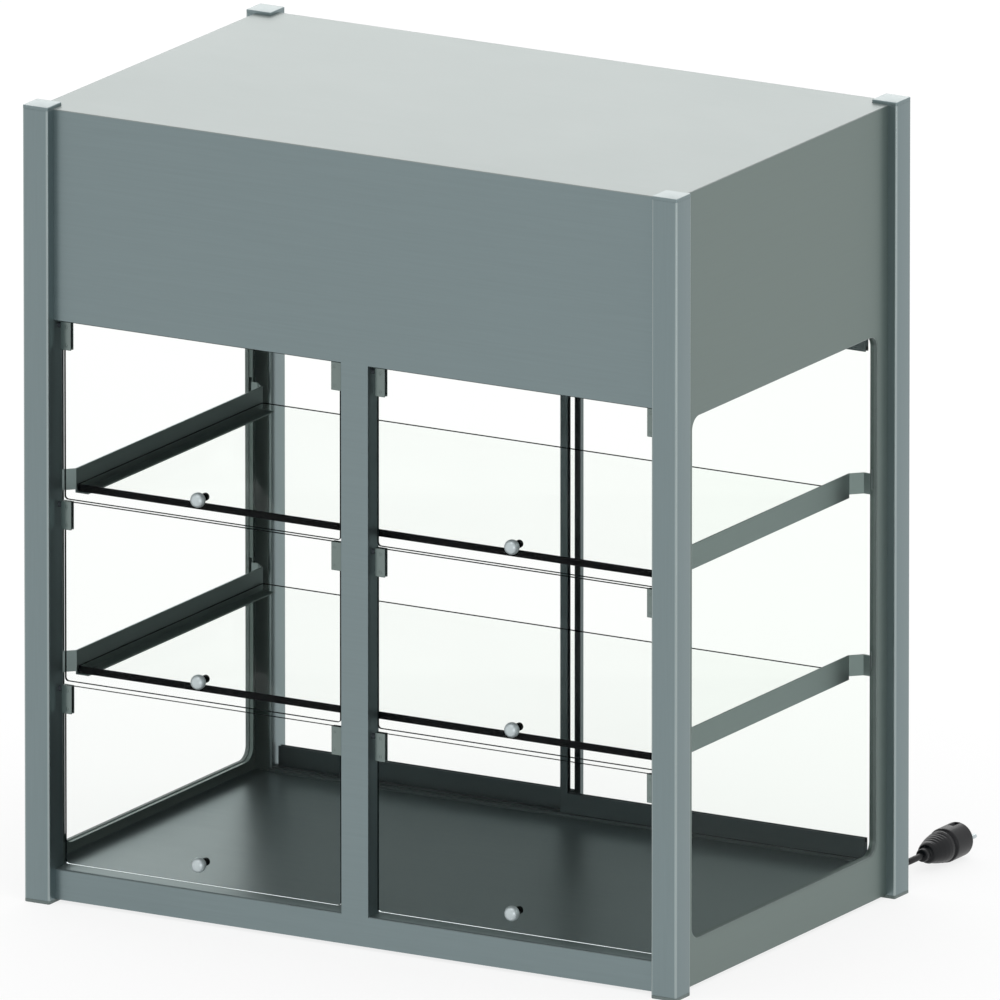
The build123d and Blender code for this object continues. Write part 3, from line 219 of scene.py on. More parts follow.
# %% Plating and anodised aluminium
HANDLING_SIZE = 4 * MM
PLATING_SWING = 0.06
DIE_LINE = 0.9 * MM
DIE_LINE_LENGTH = 400 * MM
DIE_LINE_DEPTH = 0.05 * MM
TRACK_EDGE = 0.4 * MM


def plated(name, colour, roughness, metallic=1.0):
    """Satin plating: metal whose roughness wanders over a few millimetres, as handling leaves it."""
    material, tree, output = empty_material(name)
    place = add(tree, "ShaderNodeTexCoord").outputs["Object"]
    cloud = add(tree, "ShaderNodeTexNoise", {"Scale": 1 / HANDLING_SIZE, "Detail": 3.0},
                {"Vector": place}).outputs["Fac"]
    rough = add(tree, "ShaderNodeMapRange",
                {"To Min": roughness - PLATING_SWING, "To Max": roughness + PLATING_SWING},
                {"Value": cloud}).outputs[0]
    shader = add(tree, "ShaderNodeBsdfPrincipled",
                 {"Base Color": linear(colour), "Metallic": metallic}, {"Roughness": rough})
    tree.links.new(shader.outputs[0], output.inputs[0])
    return material


def anodised(name, colour, along):
    """Anodised aluminium: matt, with faint die lines along the extrusion."""
    material, tree, output = empty_material(name)
    place = add(tree, "ShaderNodeTexCoord").outputs["Object"]
    scale = [1 / DIE_LINE] * 3
    scale["xyz".index(along)] = 1 / DIE_LINE_LENGTH
    stretched = add(tree, "ShaderNodeMapping", {"Scale": scale}, {"Vector": place})
    lines = add(tree, "ShaderNodeTexNoise", {"Scale": 1.0, "Detail": 1.0},
                {"Vector": stretched.outputs[0]}).outputs["Fac"]
    shade = add(tree, "ShaderNodeMapRange", {"To Min": 0.9, "To Max": 1.1}, {"Value": lines}).outputs[0]
    tint = add(tree, "ShaderNodeVectorMath", {0: linear(colour)[:3]}, {"Scale": shade},
               operation="SCALE").outputs[0]
    edge = add(tree, "ShaderNodeBevel", {"Radius": TRACK_EDGE}, samples=4).outputs[0]
    lift = add(tree, "ShaderNodeBump", {"Strength": 0.06, "Distance": DIE_LINE_DEPTH},
               {"Height": lines, "Normal": edge}).outputs[0]
    shader = add(tree, "ShaderNodeBsdfPrincipled", {"Metallic": 0.6, "Roughness": 0.5},
                 {"Base Color": tint, "Normal": lift})
    tree.links.new(shader.outputs[0], output.inputs[0])
    return material


knob_plating = plated("satin_plated_brass", "#bcc6c8", 0.34, metallic=0.6)
screw_plating = plated("zinc_plated_steel", "#aeb4b6", 0.35)
# The screws' sockets and the knobs' back nuts are painted near-black: painted shade in the sockets and behind
# the panes
painted_shade_dark = plated("steel_painted_shade", "#101414", 0.6)
track_aluminium = anodised("dark_anodised_track", "#566060", "x")
print("plating and anodised aluminium made")

# %% [markdown]
# A pane shows by what it mirrors and by its edges. Full refraction through five or six panes would need
# many bounces and would shift nothing by a pixel, so a face is clear with a small share of gloss, as on
# coated display glass. A look through the cabinet crosses a dozen faces, so the limit on clear faces is
# raised. An edge looks along the pane into what it refracts, and that is painted on as its colour: painted
# shade, nearly black on the thick shelves over the glass's own green, and dark grey-green on the flaps.

# %% Clear panes and their edges
SMEAR_SIZE = 120 * MM
SMEAR_ROUGHNESS = 0.06
SAW_LINE = 3 * MM
EDGE_GLOSS = 0.06


def clear_face(name, tint, inside, straight, grazing):
    """A clear face: see-through, with a mirror share that rises from its straight-on value to its grazing
    value with the fifth power of how edge-on the face is, which is Schlick's form of Fresnel's law. The
    eye looks through its tint, and light that bounces inside the cabinet passes its darker tint."""
    material, tree, output = empty_material(name)
    place = add(tree, "ShaderNodeTexCoord").outputs["Object"]
    smear = add(tree, "ShaderNodeTexNoise", {"Scale": 1 / SMEAR_SIZE, "Detail": 2.0},
                {"Vector": place}).outputs["Fac"]
    rough = add(tree, "ShaderNodeMapRange", {"To Min": 0.0, "To Max": SMEAR_ROUGHNESS},
                {"Value": smear}).outputs[0]
    path = add(tree, "ShaderNodeLightPath").outputs
    looked = add(tree, "ShaderNodeMath", {}, {0: path["Is Camera Ray"], 1: path["Is Transmission Ray"]},
                 operation="MAXIMUM").outputs[0]
    passed = add(tree, "ShaderNodeMix", {6: linear(inside), 7: linear(tint)}, {0: looked},
                 data_type="RGBA").outputs[2]
    through = add(tree, "ShaderNodeBsdfTransparent", {}, {"Color": passed}).outputs[0]
    mirror = add(tree, "ShaderNodeBsdfGlossy", {}, {"Roughness": rough}).outputs[0]
    facing = add(tree, "ShaderNodeLayerWeight", {"Blend": 0.5}).outputs["Facing"]
    rise = add(tree, "ShaderNodeMath", {1: 5.0}, {0: facing}, operation="POWER").outputs[0]
    share = add(tree, "ShaderNodeMapRange", {"To Min": straight, "To Max": grazing},
                {"Value": rise}).outputs[0]
    mixed = add(tree, "ShaderNodeMixShader", {}, {0: share, 1: through, 2: mirror})
    tree.links.new(mixed.outputs[0], output.inputs[0])
    return material


def pane_edge(name, colour, roughness, glow=0.0):
    """A cut and polished edge, with fine saw lines across it. Its colour is painted: a dark one is painted
    shade for what the edge refracts, and the glow is painted light that the pane carries to an edge from
    elsewhere, which clear faces without refraction can't bring."""
    material, tree, output = empty_material(name)
    place = add(tree, "ShaderNodeTexCoord").outputs["Object"]
    lines = add(tree, "ShaderNodeTexNoise", {"Scale": 1 / SAW_LINE, "Detail": 2.0},
                {"Vector": place}).outputs["Fac"]
    rough = add(tree, "ShaderNodeMapRange", {"To Min": roughness - 0.05, "To Max": roughness + 0.1},
                {"Value": lines}).outputs[0]
    shader = add(tree, "ShaderNodeBsdfPrincipled",
                 {"Base Color": linear(colour), "Specular IOR Level": EDGE_GLOSS,
                  "Emission Color": linear(colour), "Emission Strength": glow}, {"Roughness": rough})
    tree.links.new(shader.outputs[0], output.inputs[0])
    return material


scene.cycles.transparent_max_bounces = 64
acrylic_face = clear_face("clear_acrylic", "#ffffff", "#e6e8e8", 0.003, 0.15)
glass_face = clear_face("clear_float_glass", "#fefffe", "#e6e9e8", 0.006, 0.06)
door_glass_face = clear_face("clear_door_glass", "#fefffe", "#a6abaa", 0.006, 0.15)
# The edges' dark colours are painted shade, standing in for what an edge refracts
acrylic_edge = pane_edge("acrylic_edge_painted_dark", "#0d1415", 0.3)
lit_edge = pane_edge("lit_acrylic_edge", "#e2eaea", 0.3, glow=0.8)
glass_edge = pane_edge("ground_glass_edge_painted_dark", "#070a0b", 0.25)
print("pane finishes made")

# %% [markdown]
# The plastics are few: black PVC on the lead and its plug, black nylon for the gland and the switch,
# grey nylon bushes and post feet, an opal acrylic strip, and rubber round the side glass. Each has the fine
# spark-eroded texture of its mould, which shows as a soft sheen.

# %% Moulded plastics and rubber
PEBBLE_DEPTH = 0.05 * MM
PEBBLE_SWING = 0.08


def moulded(name, colour, roughness, cell=0.5, strength=0.15, specular=0.5):
    """A moulded plastic with a fine pebble texture, whose cell is given in millimetres."""
    material, tree, output = empty_material(name)
    place = add(tree, "ShaderNodeTexCoord").outputs["Object"]
    pebble = add(tree, "ShaderNodeTexNoise", {"Scale": 1 / (cell * MM), "Detail": 2.0},
                 {"Vector": place}).outputs["Fac"]
    rough = add(tree, "ShaderNodeMapRange",
                {"To Min": roughness - PEBBLE_SWING, "To Max": roughness + PEBBLE_SWING},
                {"Value": pebble}).outputs[0]
    lift = add(tree, "ShaderNodeBump", {"Strength": strength, "Distance": PEBBLE_DEPTH},
               {"Height": pebble}).outputs[0]
    shader = add(tree, "ShaderNodeBsdfPrincipled",
                 {"Base Color": linear(colour), "Specular IOR Level": specular},
                 {"Roughness": rough, "Normal": lift})
    tree.links.new(shader.outputs[0], output.inputs[0])
    return material


lead_pvc = moulded("black_pvc_lead", "#0a0c0f", 0.42, specular=0.25)
plug_pvc = moulded("black_pvc_plug", "#090b0f", 0.34, strength=0.1, specular=0.25)
gland_nylon = moulded("black_nylon", "#111316", 0.45)
switch_nylon = moulded("gloss_black_nylon", "#101215", 0.25, strength=0.05)
bush_nylon = moulded("grey_nylon", "#2d3338", 0.45)
opal_acrylic = moulded("opal_acrylic", "#eceeec", 0.35, strength=0.05)
powder_coat = moulded("white_powder_coat", "#dcdedd", 0.5, cell=0.8, strength=0.3)
case_plastic = moulded("white_polycarbonate", "#d9dad8", 0.45)
terminal_plastic = moulded("natural_polyamide", "#d8d5c8", 0.45)
foot_nylon = moulded("grey_foot_nylon", "#65716f", 0.5, cell=0.9, strength=0.2)
# The rubber's light grey is partly its own colour and partly painted light, the light on the window sill
seal_painted_light_rubber = moulded("grey_glazing_rubber_painted_light", "#7b8583", 0.5, cell=2.0, strength=0.1)
print("materials:", len(bpy.data.materials))

# %% [markdown]
# Most new pieces are closed surfaces made of rings. A ring is a row of points, and a grid of rings
# becomes quads all at once by index arithmetic: point j of ring i is number i times n plus j. Both ends are
# closed by one flat face. Stacking plain rings is quicker to read than edit-mode steps, and exact.

# %% Rings to meshes


def ring_part(rings, bands=0, ends=0):
    """Points, faces and material numbers of stacked rings: quad (i, j) joins points j and j + 1 of rings i
    and i + 1, bands gives the quads' materials, and ends the two closing faces' material."""
    rings = np.asarray(rings, float)
    count, around = rings.shape[:2]
    i, j = np.meshgrid(np.arange(count - 1), np.arange(around), indexing="ij")
    after = (j + 1) % around
    quads = np.stack([i * around + j, i * around + after, (i + 1) * around + after, (i + 1) * around + j], -1)
    faces = quads.reshape(-1, 4).tolist()
    last = (count - 1) * around
    faces += [list(range(around))[::-1], list(range(last, last + around))]
    numbers = np.broadcast_to(bands, (count - 1, around)).ravel().tolist() + [ends, ends]
    return rings.reshape(-1, 3), faces, numbers


def make_piece(name, parts, materials, body, replaces=(), sharp=40):
    """One object out of several closed parts, its normals outward and its edges sharp past an angle."""
    points, faces, numbers, start = [], [], [], 0
    for part_points, part_faces, part_numbers in parts:
        points.append(part_points)
        faces += [[index + start for index in face] for face in part_faces]
        numbers += part_numbers
        start += len(part_points)
    mesh = bpy.data.meshes.new(name)
    mesh.from_pydata(np.concatenate(points).tolist(), [], faces)
    mesh.polygons.foreach_set("material_index", numbers)
    for material in materials:
        mesh.materials.append(material)
    work = bmesh.new()
    work.from_mesh(mesh)
    bmesh.ops.recalc_face_normals(work, faces=work.faces)
    work.to_mesh(mesh)
    work.free()
    mesh.shade_smooth()
    mesh.set_sharp_from_angle(angle=math.radians(sharp))
    piece = bpy.data.objects.new(name, mesh)
    scene.collection.objects.link(piece)
    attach(piece, body)
    if replaces:
        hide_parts(*replaces)
    return piece


print("ring and piece helpers ready")

# %% [markdown]
# Two kinds of rings cover nearly everything here. A slab is a rounded rectangle that is drawn in a little
# at its edges, as on a pane, a cap or a tube. A turned shape is a circle whose radius changes along its axis,
# as on a knob, a pin or a nut. Both are worked out flat and then put on the world's axes.

# %% Slabs and turned shapes
LEAST_RADIUS = 0.02 * MM


def on_axes(points, order):
    """Points given as (u, v, w) put on the world's axes: order xzy sends u to x, v to z and w to y."""
    places = [order.index(axis) for axis in "xyz"]
    return np.asarray(points)[..., places]


def rounded_outline(half_u, half_v, radii, steps=7):
    """A rectangle with rounded corners: each corner is its centre plus radius times (cos, sin) of an angle
    that runs through its quarter turn."""
    radii = np.asarray(radii, float)[:, None]
    signs = np.array([[1, 1], [-1, 1], [-1, -1], [1, -1]])
    turn = np.radians(np.arange(4) * 90)[:, None] + np.linspace(0, math.pi / 2, steps)
    centre_u = signs[:, :1] * (half_u - radii)
    centre_v = signs[:, 1:] * (half_v - radii)
    outline = np.stack([centre_u + radii * np.cos(turn), centre_v + radii * np.sin(turn)], -1)
    return outline.reshape(-1, 2)


def slab_rings(low, high, order, radii, profile):
    """Rings of a slab between two corners: for each (inset, depth) of the profile, the outline drawn in by
    the inset at that depth. The order names the outline's two axes and then the depth's."""
    axes = ["xyz".index(axis) for axis in order]
    low, high = np.array(low)[axes], np.array(high)[axes]
    centre, half = (low + high) / 2, (high - low) / 2
    rings = []
    for inset, depth in profile:
        drawn_in = np.maximum(np.asarray(radii) - inset, LEAST_RADIUS)
        flat = rounded_outline(half[0] - inset, half[1] - inset, drawn_in) + centre[:2]
        rings.append(np.column_stack([flat, np.full(len(flat), low[2] + depth)]))
    return on_axes(np.array(rings), order)


def bevelled(depth, bevel, steps=3):
    """A profile whose both edges are quarter rounds: inset 1 - sin and depth 1 - cos of the same angle."""
    turn = np.linspace(0, math.pi / 2, steps)
    near = np.column_stack([bevel * (1 - np.sin(turn)), bevel * (1 - np.cos(turn))])
    far = near[::-1] * [1, -1] + [0, depth]
    return np.concatenate([near, far])


def turned_rings(profile, origin, order, steps=48):
    """Rings of a turned shape: for each (radius, along) of the profile, a circle of that radius round the
    axis. The order names the circle's two axes and then the turning axis."""
    profile = np.asarray(profile, float)
    turn = np.linspace(0, 2 * math.pi, steps, endpoint=False)
    around = np.stack([np.cos(turn), np.sin(turn)], -1)
    radius, along = profile[:, :1, None], profile[:, 1:, None]
    flat = radius * around[None]
    rings = np.concatenate([flat, np.broadcast_to(along, (len(profile), steps, 1))], -1)
    return on_axes(rings, order) + np.asarray(origin)


print("slab and turning helpers ready")

# %% [markdown]
# The mains lead is a free cord, so it comes before the other pieces. It leaves the gland at the rear,
# lies in a neat coil behind the cabinet and runs on to its plug at the right. A NURBS spline through the
# chosen points is as smooth as rubber, which straight runs with rounded corners are not. The coil's
# points come from the spiral's formula: the radius shrinks with each turn on the upper layer, and grows
# again on the lower one.

# %% The mains lead
CORD_DIAMETER = 7 * MM
GLAND_PLACE = np.array([290, 232, 0]) * MM
LEAD_ROUTE = np.array([(0, 24, 18.4), (0, 40, 18.4), (0, 59.5, 11.1), (0, 74, 11.1)]) * MM
TAIL_ROUTE = np.array([
    (-43, 31, 3.5), (-20, 31, 3.5), (8, 16.5, 3.5), (37.5, 16, 6), (60, 28.5, 12.5), (73, 51, 18.5),
    (73, 85, 18.5),
]) * MM
COIL_CENTRE = np.array([240, 313]) * MM
COIL_RADIUS = 50 * MM
COIL_TURNS = 4.75
COIL_PITCH = 7.6 * MM
# The coil steps down to its lower layer within this part of a turn before and after its middle
STEP_TURNS = 0.25
POINTS_A_TURN = 24


def coil_points():
    """Points of the spiral: angle 2 pi t, radius less one pitch a turn up to the middle and more after it,
    and a step down of one pitch, along a sine, within half a turn round the middle."""
    turn = np.linspace(0, COIL_TURNS, round(COIL_TURNS * POINTS_A_TURN) + 1)
    middle = COIL_TURNS / 2
    chord_loss = math.cos(math.pi / POINTS_A_TURN)
    radius = (COIL_RADIUS - COIL_PITCH * (middle - np.abs(turn - middle))) / chord_loss
    along = np.clip((turn - middle) / STEP_TURNS, -1, 1)
    height = CORD_DIAMETER / 2 + COIL_PITCH * (1 - np.sin(along * math.pi / 2)) / 2
    angle = 2 * math.pi * turn
    return np.column_stack([COIL_CENTRE[0] + radius * np.cos(angle),
                            COIL_CENTRE[1] + radius * np.sin(angle), height])


cord_points = np.concatenate([GLAND_PLACE + LEAD_ROUTE, coil_points(), GLAND_PLACE + TAIL_ROUTE])
cord_curve = bpy.data.curves.new("mains_lead", "CURVE")
cord_curve.dimensions = "3D"
spline = cord_curve.splines.new("NURBS")
spline.points.add(len(cord_points) - 1)
spline.points.foreach_set("co", np.column_stack([cord_points, np.ones(len(cord_points))]).ravel())
spline.order_u = 3
spline.use_endpoint_u = True
spline.resolution_u = 4
cord_curve.bevel_depth = CORD_DIAMETER / 2
cord_curve.bevel_resolution = 5
cord_curve.use_fill_caps = True
cord_curve.materials.append(lead_pvc)
mains_lead = bpy.data.objects.new("mains_lead", cord_curve)
scene.collection.objects.link(mains_lead)
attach(mains_lead, "cabinet")
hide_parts("cord_lead", "cord_coil", "cord_tail")
print("lead points:", len(cord_points))

# %% [markdown]
# The plug is one moulding: a neck ring, a grip that swells and is a little flatter than it is wide, and a
# round head with a slot at each side. A turned profile alone would look like a bottle, so the radius also
# depends on the angle: shallow flats on the grip, and ribs where the fingers hold.

# %% The plug
plug_low, plug_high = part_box("plug")
PIN_REACH = 19 * MM
PIN_RADIUS = 2.4 * MM
PIN_SPACING = 19 * MM
PIN_TIP = 1.5 * MM
PIN_SEAT = 1 * MM
HEAD_RADIUS = 18.5 * MM
SLOT_WIDTH = 7 * MM
SLOT_DEPTH = 2.6 * MM
SLOT_LENGTH = 17 * MM
SLOT_RIM = 1.2 * MM
RIB_PITCH = 4.2 * MM
RIB_HEIGHT = 0.55 * MM
GRIP_START = 14 * MM
GRIP_END = 40 * MM
GRIP_FADE = 3 * MM
GRIP_FLATNESS = 0.06
PLUG_RINGS = 159
plug_x = (plug_low.x + plug_high.x) / 2
plug_neck = plug_low.y
plug_face = plug_high.y - PIN_REACH
# Radius at places along the plug, from the cord's end of the neck ring to the head's face
PLUG_PROFILE = np.array([
    (4.6, 0), (6.4, 0.5), (7.0, 1.8), (7.0, 7.0), (6.6, 8.6), (7.4, 9.4), (9.6, 10.0), (10.6, 11.4),
    (11.9, 15), (13.4, 20), (15.2, 27), (16.4, 33), (17.0, 38), (16.9, 42), (16.5, 44.5), (17.2, 45.6),
    (18.1, 46.4), (18.5, 48.2), (18.5, 60), (18.5, 76.8), (18.0, 78.3), (16.9, 79.0),
]) * MM


def plug_body_rings(steps=96):
    """The moulding's rings: radius at (along, angle) is the profile's, less ribs, a raised cosine in the
    length that fades in on the grip's upper and lower side, flattened there by the fourth power of the
    angle's sine, and cut down to the slots' floor inside their width and length."""
    along = np.linspace(0, plug_face - plug_neck, PLUG_RINGS)
    radius = np.interp(along, PLUG_PROFILE[:, 1], PLUG_PROFILE[:, 0])
    turn = np.linspace(0, 2 * math.pi, steps, endpoint=False)
    grid = np.broadcast_to(radius[:, None], (len(along), steps)).copy()
    on_grip = np.clip((along - GRIP_START) / GRIP_FADE, 0, 1) * np.clip((GRIP_END - along) / GRIP_FADE, 0, 1)
    rib = RIB_HEIGHT * (0.5 - 0.5 * np.cos(2 * math.pi * along / RIB_PITCH))
    # Ribs rise where the angle's sine goes from 0.75 to 0.9, which leaves the left and right side smooth
    ribbed = np.clip((np.abs(np.sin(turn)) - 0.75) / 0.15, 0, 1)
    grid -= (rib * on_grip)[:, None] * ribbed[None]
    flat = 1 - GRIP_FLATNESS * np.abs(np.sin(turn)) ** 4
    grid *= 1 + (flat[None] - 1) * on_grip[:, None]
    width = grid * np.abs(np.cos(turn))[None]
    from_face = (along[-1] - along)[:, None]
    in_slot = (width < SLOT_WIDTH / 2) & (from_face < SLOT_LENGTH) & (from_face > SLOT_RIM)
    grid = np.where(in_slot, np.minimum(grid, HEAD_RADIUS - SLOT_DEPTH), grid)
    points = np.stack([grid * np.cos(turn), grid * np.sin(turn),
                       np.broadcast_to(along[:, None], grid.shape)], -1)
    return on_axes(points, "xzy") + [plug_x, plug_neck, HEAD_RADIUS]


def pin_rings(x):
    """A pin whose tip is a quarter round: radius less (1 - cos) and length plus sin of the same angle."""
    tip = np.linspace(0, math.pi / 2, 5)
    shoulder = PIN_REACH - PIN_TIP
    end = np.column_stack([PIN_RADIUS - PIN_TIP * (1 - np.cos(tip)), shoulder + PIN_TIP * np.sin(tip)])
    profile = np.concatenate([[(PIN_RADIUS, -PIN_SEAT), (PIN_RADIUS, shoulder)], end])
    return turned_rings(profile, (x, plug_face, HEAD_RADIUS), "xzy", 24)


plug_parts = [ring_part(plug_body_rings())]
for side in (-1, 1):
    plug_parts.append(ring_part(pin_rings(plug_x + side * PIN_SPACING / 2), 1, 1))
plug = make_piece("mains_plug", plug_parts, [plug_pvc, knob_plating], "cabinet", ["plug"], 30)
print("plug faces:", len(plug.data.polygons))

# %% [markdown]
# The gland clamps the lead where it comes through the rear rail: a hexagon nut outside, another inside, and
# a tapered sleeve whose grooves let it bend. The hexagon is a ring too, with its corners cut back at both
# faces as a nut's are.

# %% The cable gland
gland_low, gland_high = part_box("cable_gland")
NUT_RADIUS = 10 * MM
NUT_THICKNESS = 4 * MM
NUT_BEVEL = 0.8 * MM
# The inner nut's two faces, from the gland's inner end
INNER_NUT = (2 * MM, 7 * MM)
THREAD_RADIUS = 6 * MM
SLEEVE_BASE = 6.6 * MM
SLEEVE_TIP = 4.6 * MM
SLEEVE_LENGTH = 20 * MM
SLEEVE_SEAT = 0.5 * MM
SLEEVE_CHAMFER = 0.4 * MM
GROOVE_FADE = 3 * MM
GROOVE_PITCH = 3.2 * MM
GROOVE_DEPTH = 0.7 * MM
gland_x = (gland_low.x + gland_high.x) / 2
gland_z = (gland_low.z + gland_high.z) / 2
panel_rear = gland_high.y - SLEEVE_LENGTH - NUT_THICKNESS


def nut_rings(y0, y1):
    """A hexagon nut: the hexagon's radius at an angle is apothem over cos of the angle to its flat, limited
    to a cone at both faces."""
    turn = np.linspace(0, 2 * math.pi, 72, endpoint=False)
    to_flat = (turn + math.pi / 6) % (math.pi / 3) - math.pi / 6
    apothem = NUT_RADIUS * math.cos(math.pi / 6)
    hexagon = apothem / np.cos(to_flat)
    rings = []
    for y, limit in ((y0, apothem), (y0 + NUT_BEVEL, NUT_RADIUS),
                     (y1 - NUT_BEVEL, NUT_RADIUS), (y1, apothem)):
        radius = np.minimum(hexagon, limit)
        rings.append(np.column_stack([radius * np.cos(turn), radius * np.sin(turn), np.full(72, y)]))
    return on_axes(np.array(rings), "xzy") + [gland_x, 0, gland_z]


def sleeve_rings():
    """The tapered sleeve: radius falls evenly from base to tip, less grooves that are a cosine in length."""
    along = np.linspace(0, SLEEVE_LENGTH, 61)
    taper = SLEEVE_BASE + (SLEEVE_TIP - SLEEVE_BASE) * along / SLEEVE_LENGTH
    fade = np.clip(along / GROOVE_FADE, 0, 1) * np.clip((SLEEVE_LENGTH - along) / GROOVE_FADE, 0, 1)
    groove = GROOVE_DEPTH * (0.5 + 0.5 * np.cos(2 * math.pi * along / GROOVE_PITCH)) * fade
    profile = np.column_stack([taper - groove, along + NUT_THICKNESS - SLEEVE_SEAT])
    profile[-1, 0] -= SLEEVE_CHAMFER
    return turned_rings(profile, (gland_x, panel_rear, gland_z), "xzy", 40)


thread = [(THREAD_RADIUS, gland_low.y), (THREAD_RADIUS, panel_rear)]
gland_parts = [
    ring_part(nut_rings(panel_rear, panel_rear + NUT_THICKNESS)),
    ring_part(nut_rings(*(gland_low.y + face for face in INNER_NUT))),
    ring_part(turned_rings(thread, (gland_x, 0, gland_z), "xzy", 32)),
    ring_part(sleeve_rings()),
]
gland = make_piece("gland", gland_parts, [gland_nylon], "cabinet", ["cable_gland"], 30)
print("gland sleeve ends at y", round(gland_high.y, 4))

# %% [markdown]
# Each post is a welded square tube of 30 by 30 mm with soft corners. It could stay the imported solid, but
# a light runs down each corner of the real tube, and only a smooth round catches it without facets. The
# rounds also carry a painted highlight: a copy of the steel a little smoother and lighter than the flats.
# The cap on the tube's end is a pressed plate with a rolled rim, and its top is painted brighter than the
# tube, as light from above makes it.

# %% Posts and their caps
POST_SIDE = 30 * MM
POST_WALL = 1.5 * MM
POST_CORNER = 2 * MM
TUBE_BEVEL = 0.3 * MM
CAP_RIM = 0.8 * MM
CAP_RIM_STEPS = 6


def tube_part(low, high):
    """A square tube: the outer surface up, the inner surface down, as one closed ring of rings."""
    height = high.z - low.z
    profile = [(TUBE_BEVEL, 0), (0, TUBE_BEVEL), (0, height - TUBE_BEVEL), (TUBE_BEVEL, height),
               (POST_WALL, height), (POST_WALL, 0)]
    rings = slab_rings(low, high, "xyz", [POST_CORNER] * 4, profile)
    around = rings.shape[1]
    # Each corner has seven points, so every seventh quad is a flat side and the rest are rounds
    rounds = np.arange(around) % (around // 4) != around // 4 - 1
    bands = np.zeros((len(rings), around), int)
    # The outer rounds take material 1, the painted highlight along each corner
    bands[:3, rounds] = 1
    points, faces, numbers = ring_part(np.concatenate([rings, rings[:1]]), bands)
    # The last ring repeats the first, so the two are one and no closing faces are needed
    count = len(rings) * around
    faces = [[index % count for index in face] for face in faces[:-2]]
    return points[:count], faces, numbers[:-2]


for node in ("post_front_left", "post_front_right", "post_rear_left", "post_rear_right"):
    low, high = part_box(node)
    make_piece(node + "_tube", [tube_part(low, high)], [post_steel, painted_highlight_steel], "cabinet",
               [node], 35)

cap_low, cap_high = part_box("post_top_caps")
cap_parts = []
for x in (cap_low.x, cap_high.x - POST_SIDE):
    for y in (cap_low.y, cap_high.y - POST_SIDE):
        plate_low = Vector((x, y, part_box("post_front_left")[1].z))
        plate_high = Vector((x + POST_SIDE, y + POST_SIDE, cap_high.z))
        rim = bevelled(plate_high.z - plate_low.z, CAP_RIM, CAP_RIM_STEPS)[CAP_RIM_STEPS:]
        profile = np.concatenate([[(0, 0)], rim])
        rings = slab_rings(plate_low, plate_high, "xyz", [POST_CORNER] * 4, profile)
        # The rim keeps the tube's steel, and the closing faces, the top among them, take the lighter steel:
        # painted light from above
        cap_parts.append(ring_part(rings, 0, 1))
make_piece("post_caps", cap_parts, [post_steel, cap_painted_light_steel], "cabinet", ["post_top_caps"], 50)
print("posts and caps:", 4 + len(cap_parts))

# %% [markdown]
# A flap is 3 mm clear acrylic with rounded lower corners. Its faces and its edge need different materials,
# so the slab's rings carry two material numbers: the outer bands are the edge, painted dark as shade, and
# the two closing faces are clear. The shelves are the same shape in 8 mm glass with ground edges. A look down
# through a shelf bends upward in the glass, so its rear and side edges are seen as a thin line: only their
# top is painted dark.

# %% Panes and shelves
FLAP_PLACES = [f"{row}_{side}" for row in ("top", "middle", "bottom") for side in ("left", "right")]
FLAP_CORNER = 4 * MM
FLAP_TOP_CORNER = 0.4 * MM
FLAP_BEVEL = 0.55 * MM
LIT_BEVEL = 0.25 * MM
SHELF_CORNER = 3 * MM
SHELF_BEVEL = 0.6 * MM
SHELF_LINE = 1.5 * MM


def pane_part(node, order, radii, bevel, lit=False):
    """A pane in its node's box: clear faces and an edge painted dark as shade, with small rounds. A lit
    pane's lower edge, the flat between its rounds, is painted light, where it passes on the brightness of the
    deck below it."""
    low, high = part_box(node)
    depth = (high - low)["xyz".index(order[2])]
    rings = slab_rings(low, high, order, radii, bevelled(depth, bevel))
    count, around = rings.shape[:2]
    bands = np.ones((count - 1, around), int)
    if lit:
        lower = slice(around // 2 + around // 8, around - around // 8)
        bands[count // 2 - 1, lower] = 2
    return ring_part(rings, bands, 0)


for place in FLAP_PLACES:
    radii = [FLAP_TOP_CORNER] * 2 + [FLAP_CORNER] * 2
    lit = place.startswith("bottom")
    part = pane_part("flap_pane_" + place, "xzy", radii, LIT_BEVEL if lit else FLAP_BEVEL, lit)
    make_piece("flap_" + place, [part], [acrylic_face, acrylic_edge, lit_edge], "flap_" + place,
               ["flap_pane_" + place])

for level in ("upper", "lower"):
    low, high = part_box("shelf_glass_" + level)
    profile = bevelled(high.z - low.z, SHELF_BEVEL).tolist()
    profile.insert(len(profile) // 2, (0, high.z - low.z - SHELF_LINE))
    rings = slab_rings(low, high, "xyz", [SHELF_CORNER] * 4, profile)
    count, around = rings.shape[:2]
    bands = np.zeros((count - 1, around), int)
    # The bands above the line are painted dark all round, as shade, and so is the front edge, the outline's
    # second half
    bands[count // 2:] = 1
    bands[:, around // 2:around - 1] = 1
    make_piece("shelf_" + level, [ring_part(rings, bands, 0)], [glass_face, glass_edge], "cabinet",
               ["shelf_glass_" + level])
print("panes and shelves made")

# %% [markdown]
# The knob is a plated ball on a short seat, with a stud through the pane and a round nut behind. It is
# turned on a lathe, so it is one profile carried round its axis.

# %% Ball knobs
BALL_RADIUS = 8 * MM
SEAT_RADIUS = 4 * MM
SEAT_CHAMFER = 0.3 * MM
NUT_LENGTH = 6 * MM
NUT_ROUND = 1.2 * MM
BACK_NUT_RADIUS = 4.2 * MM


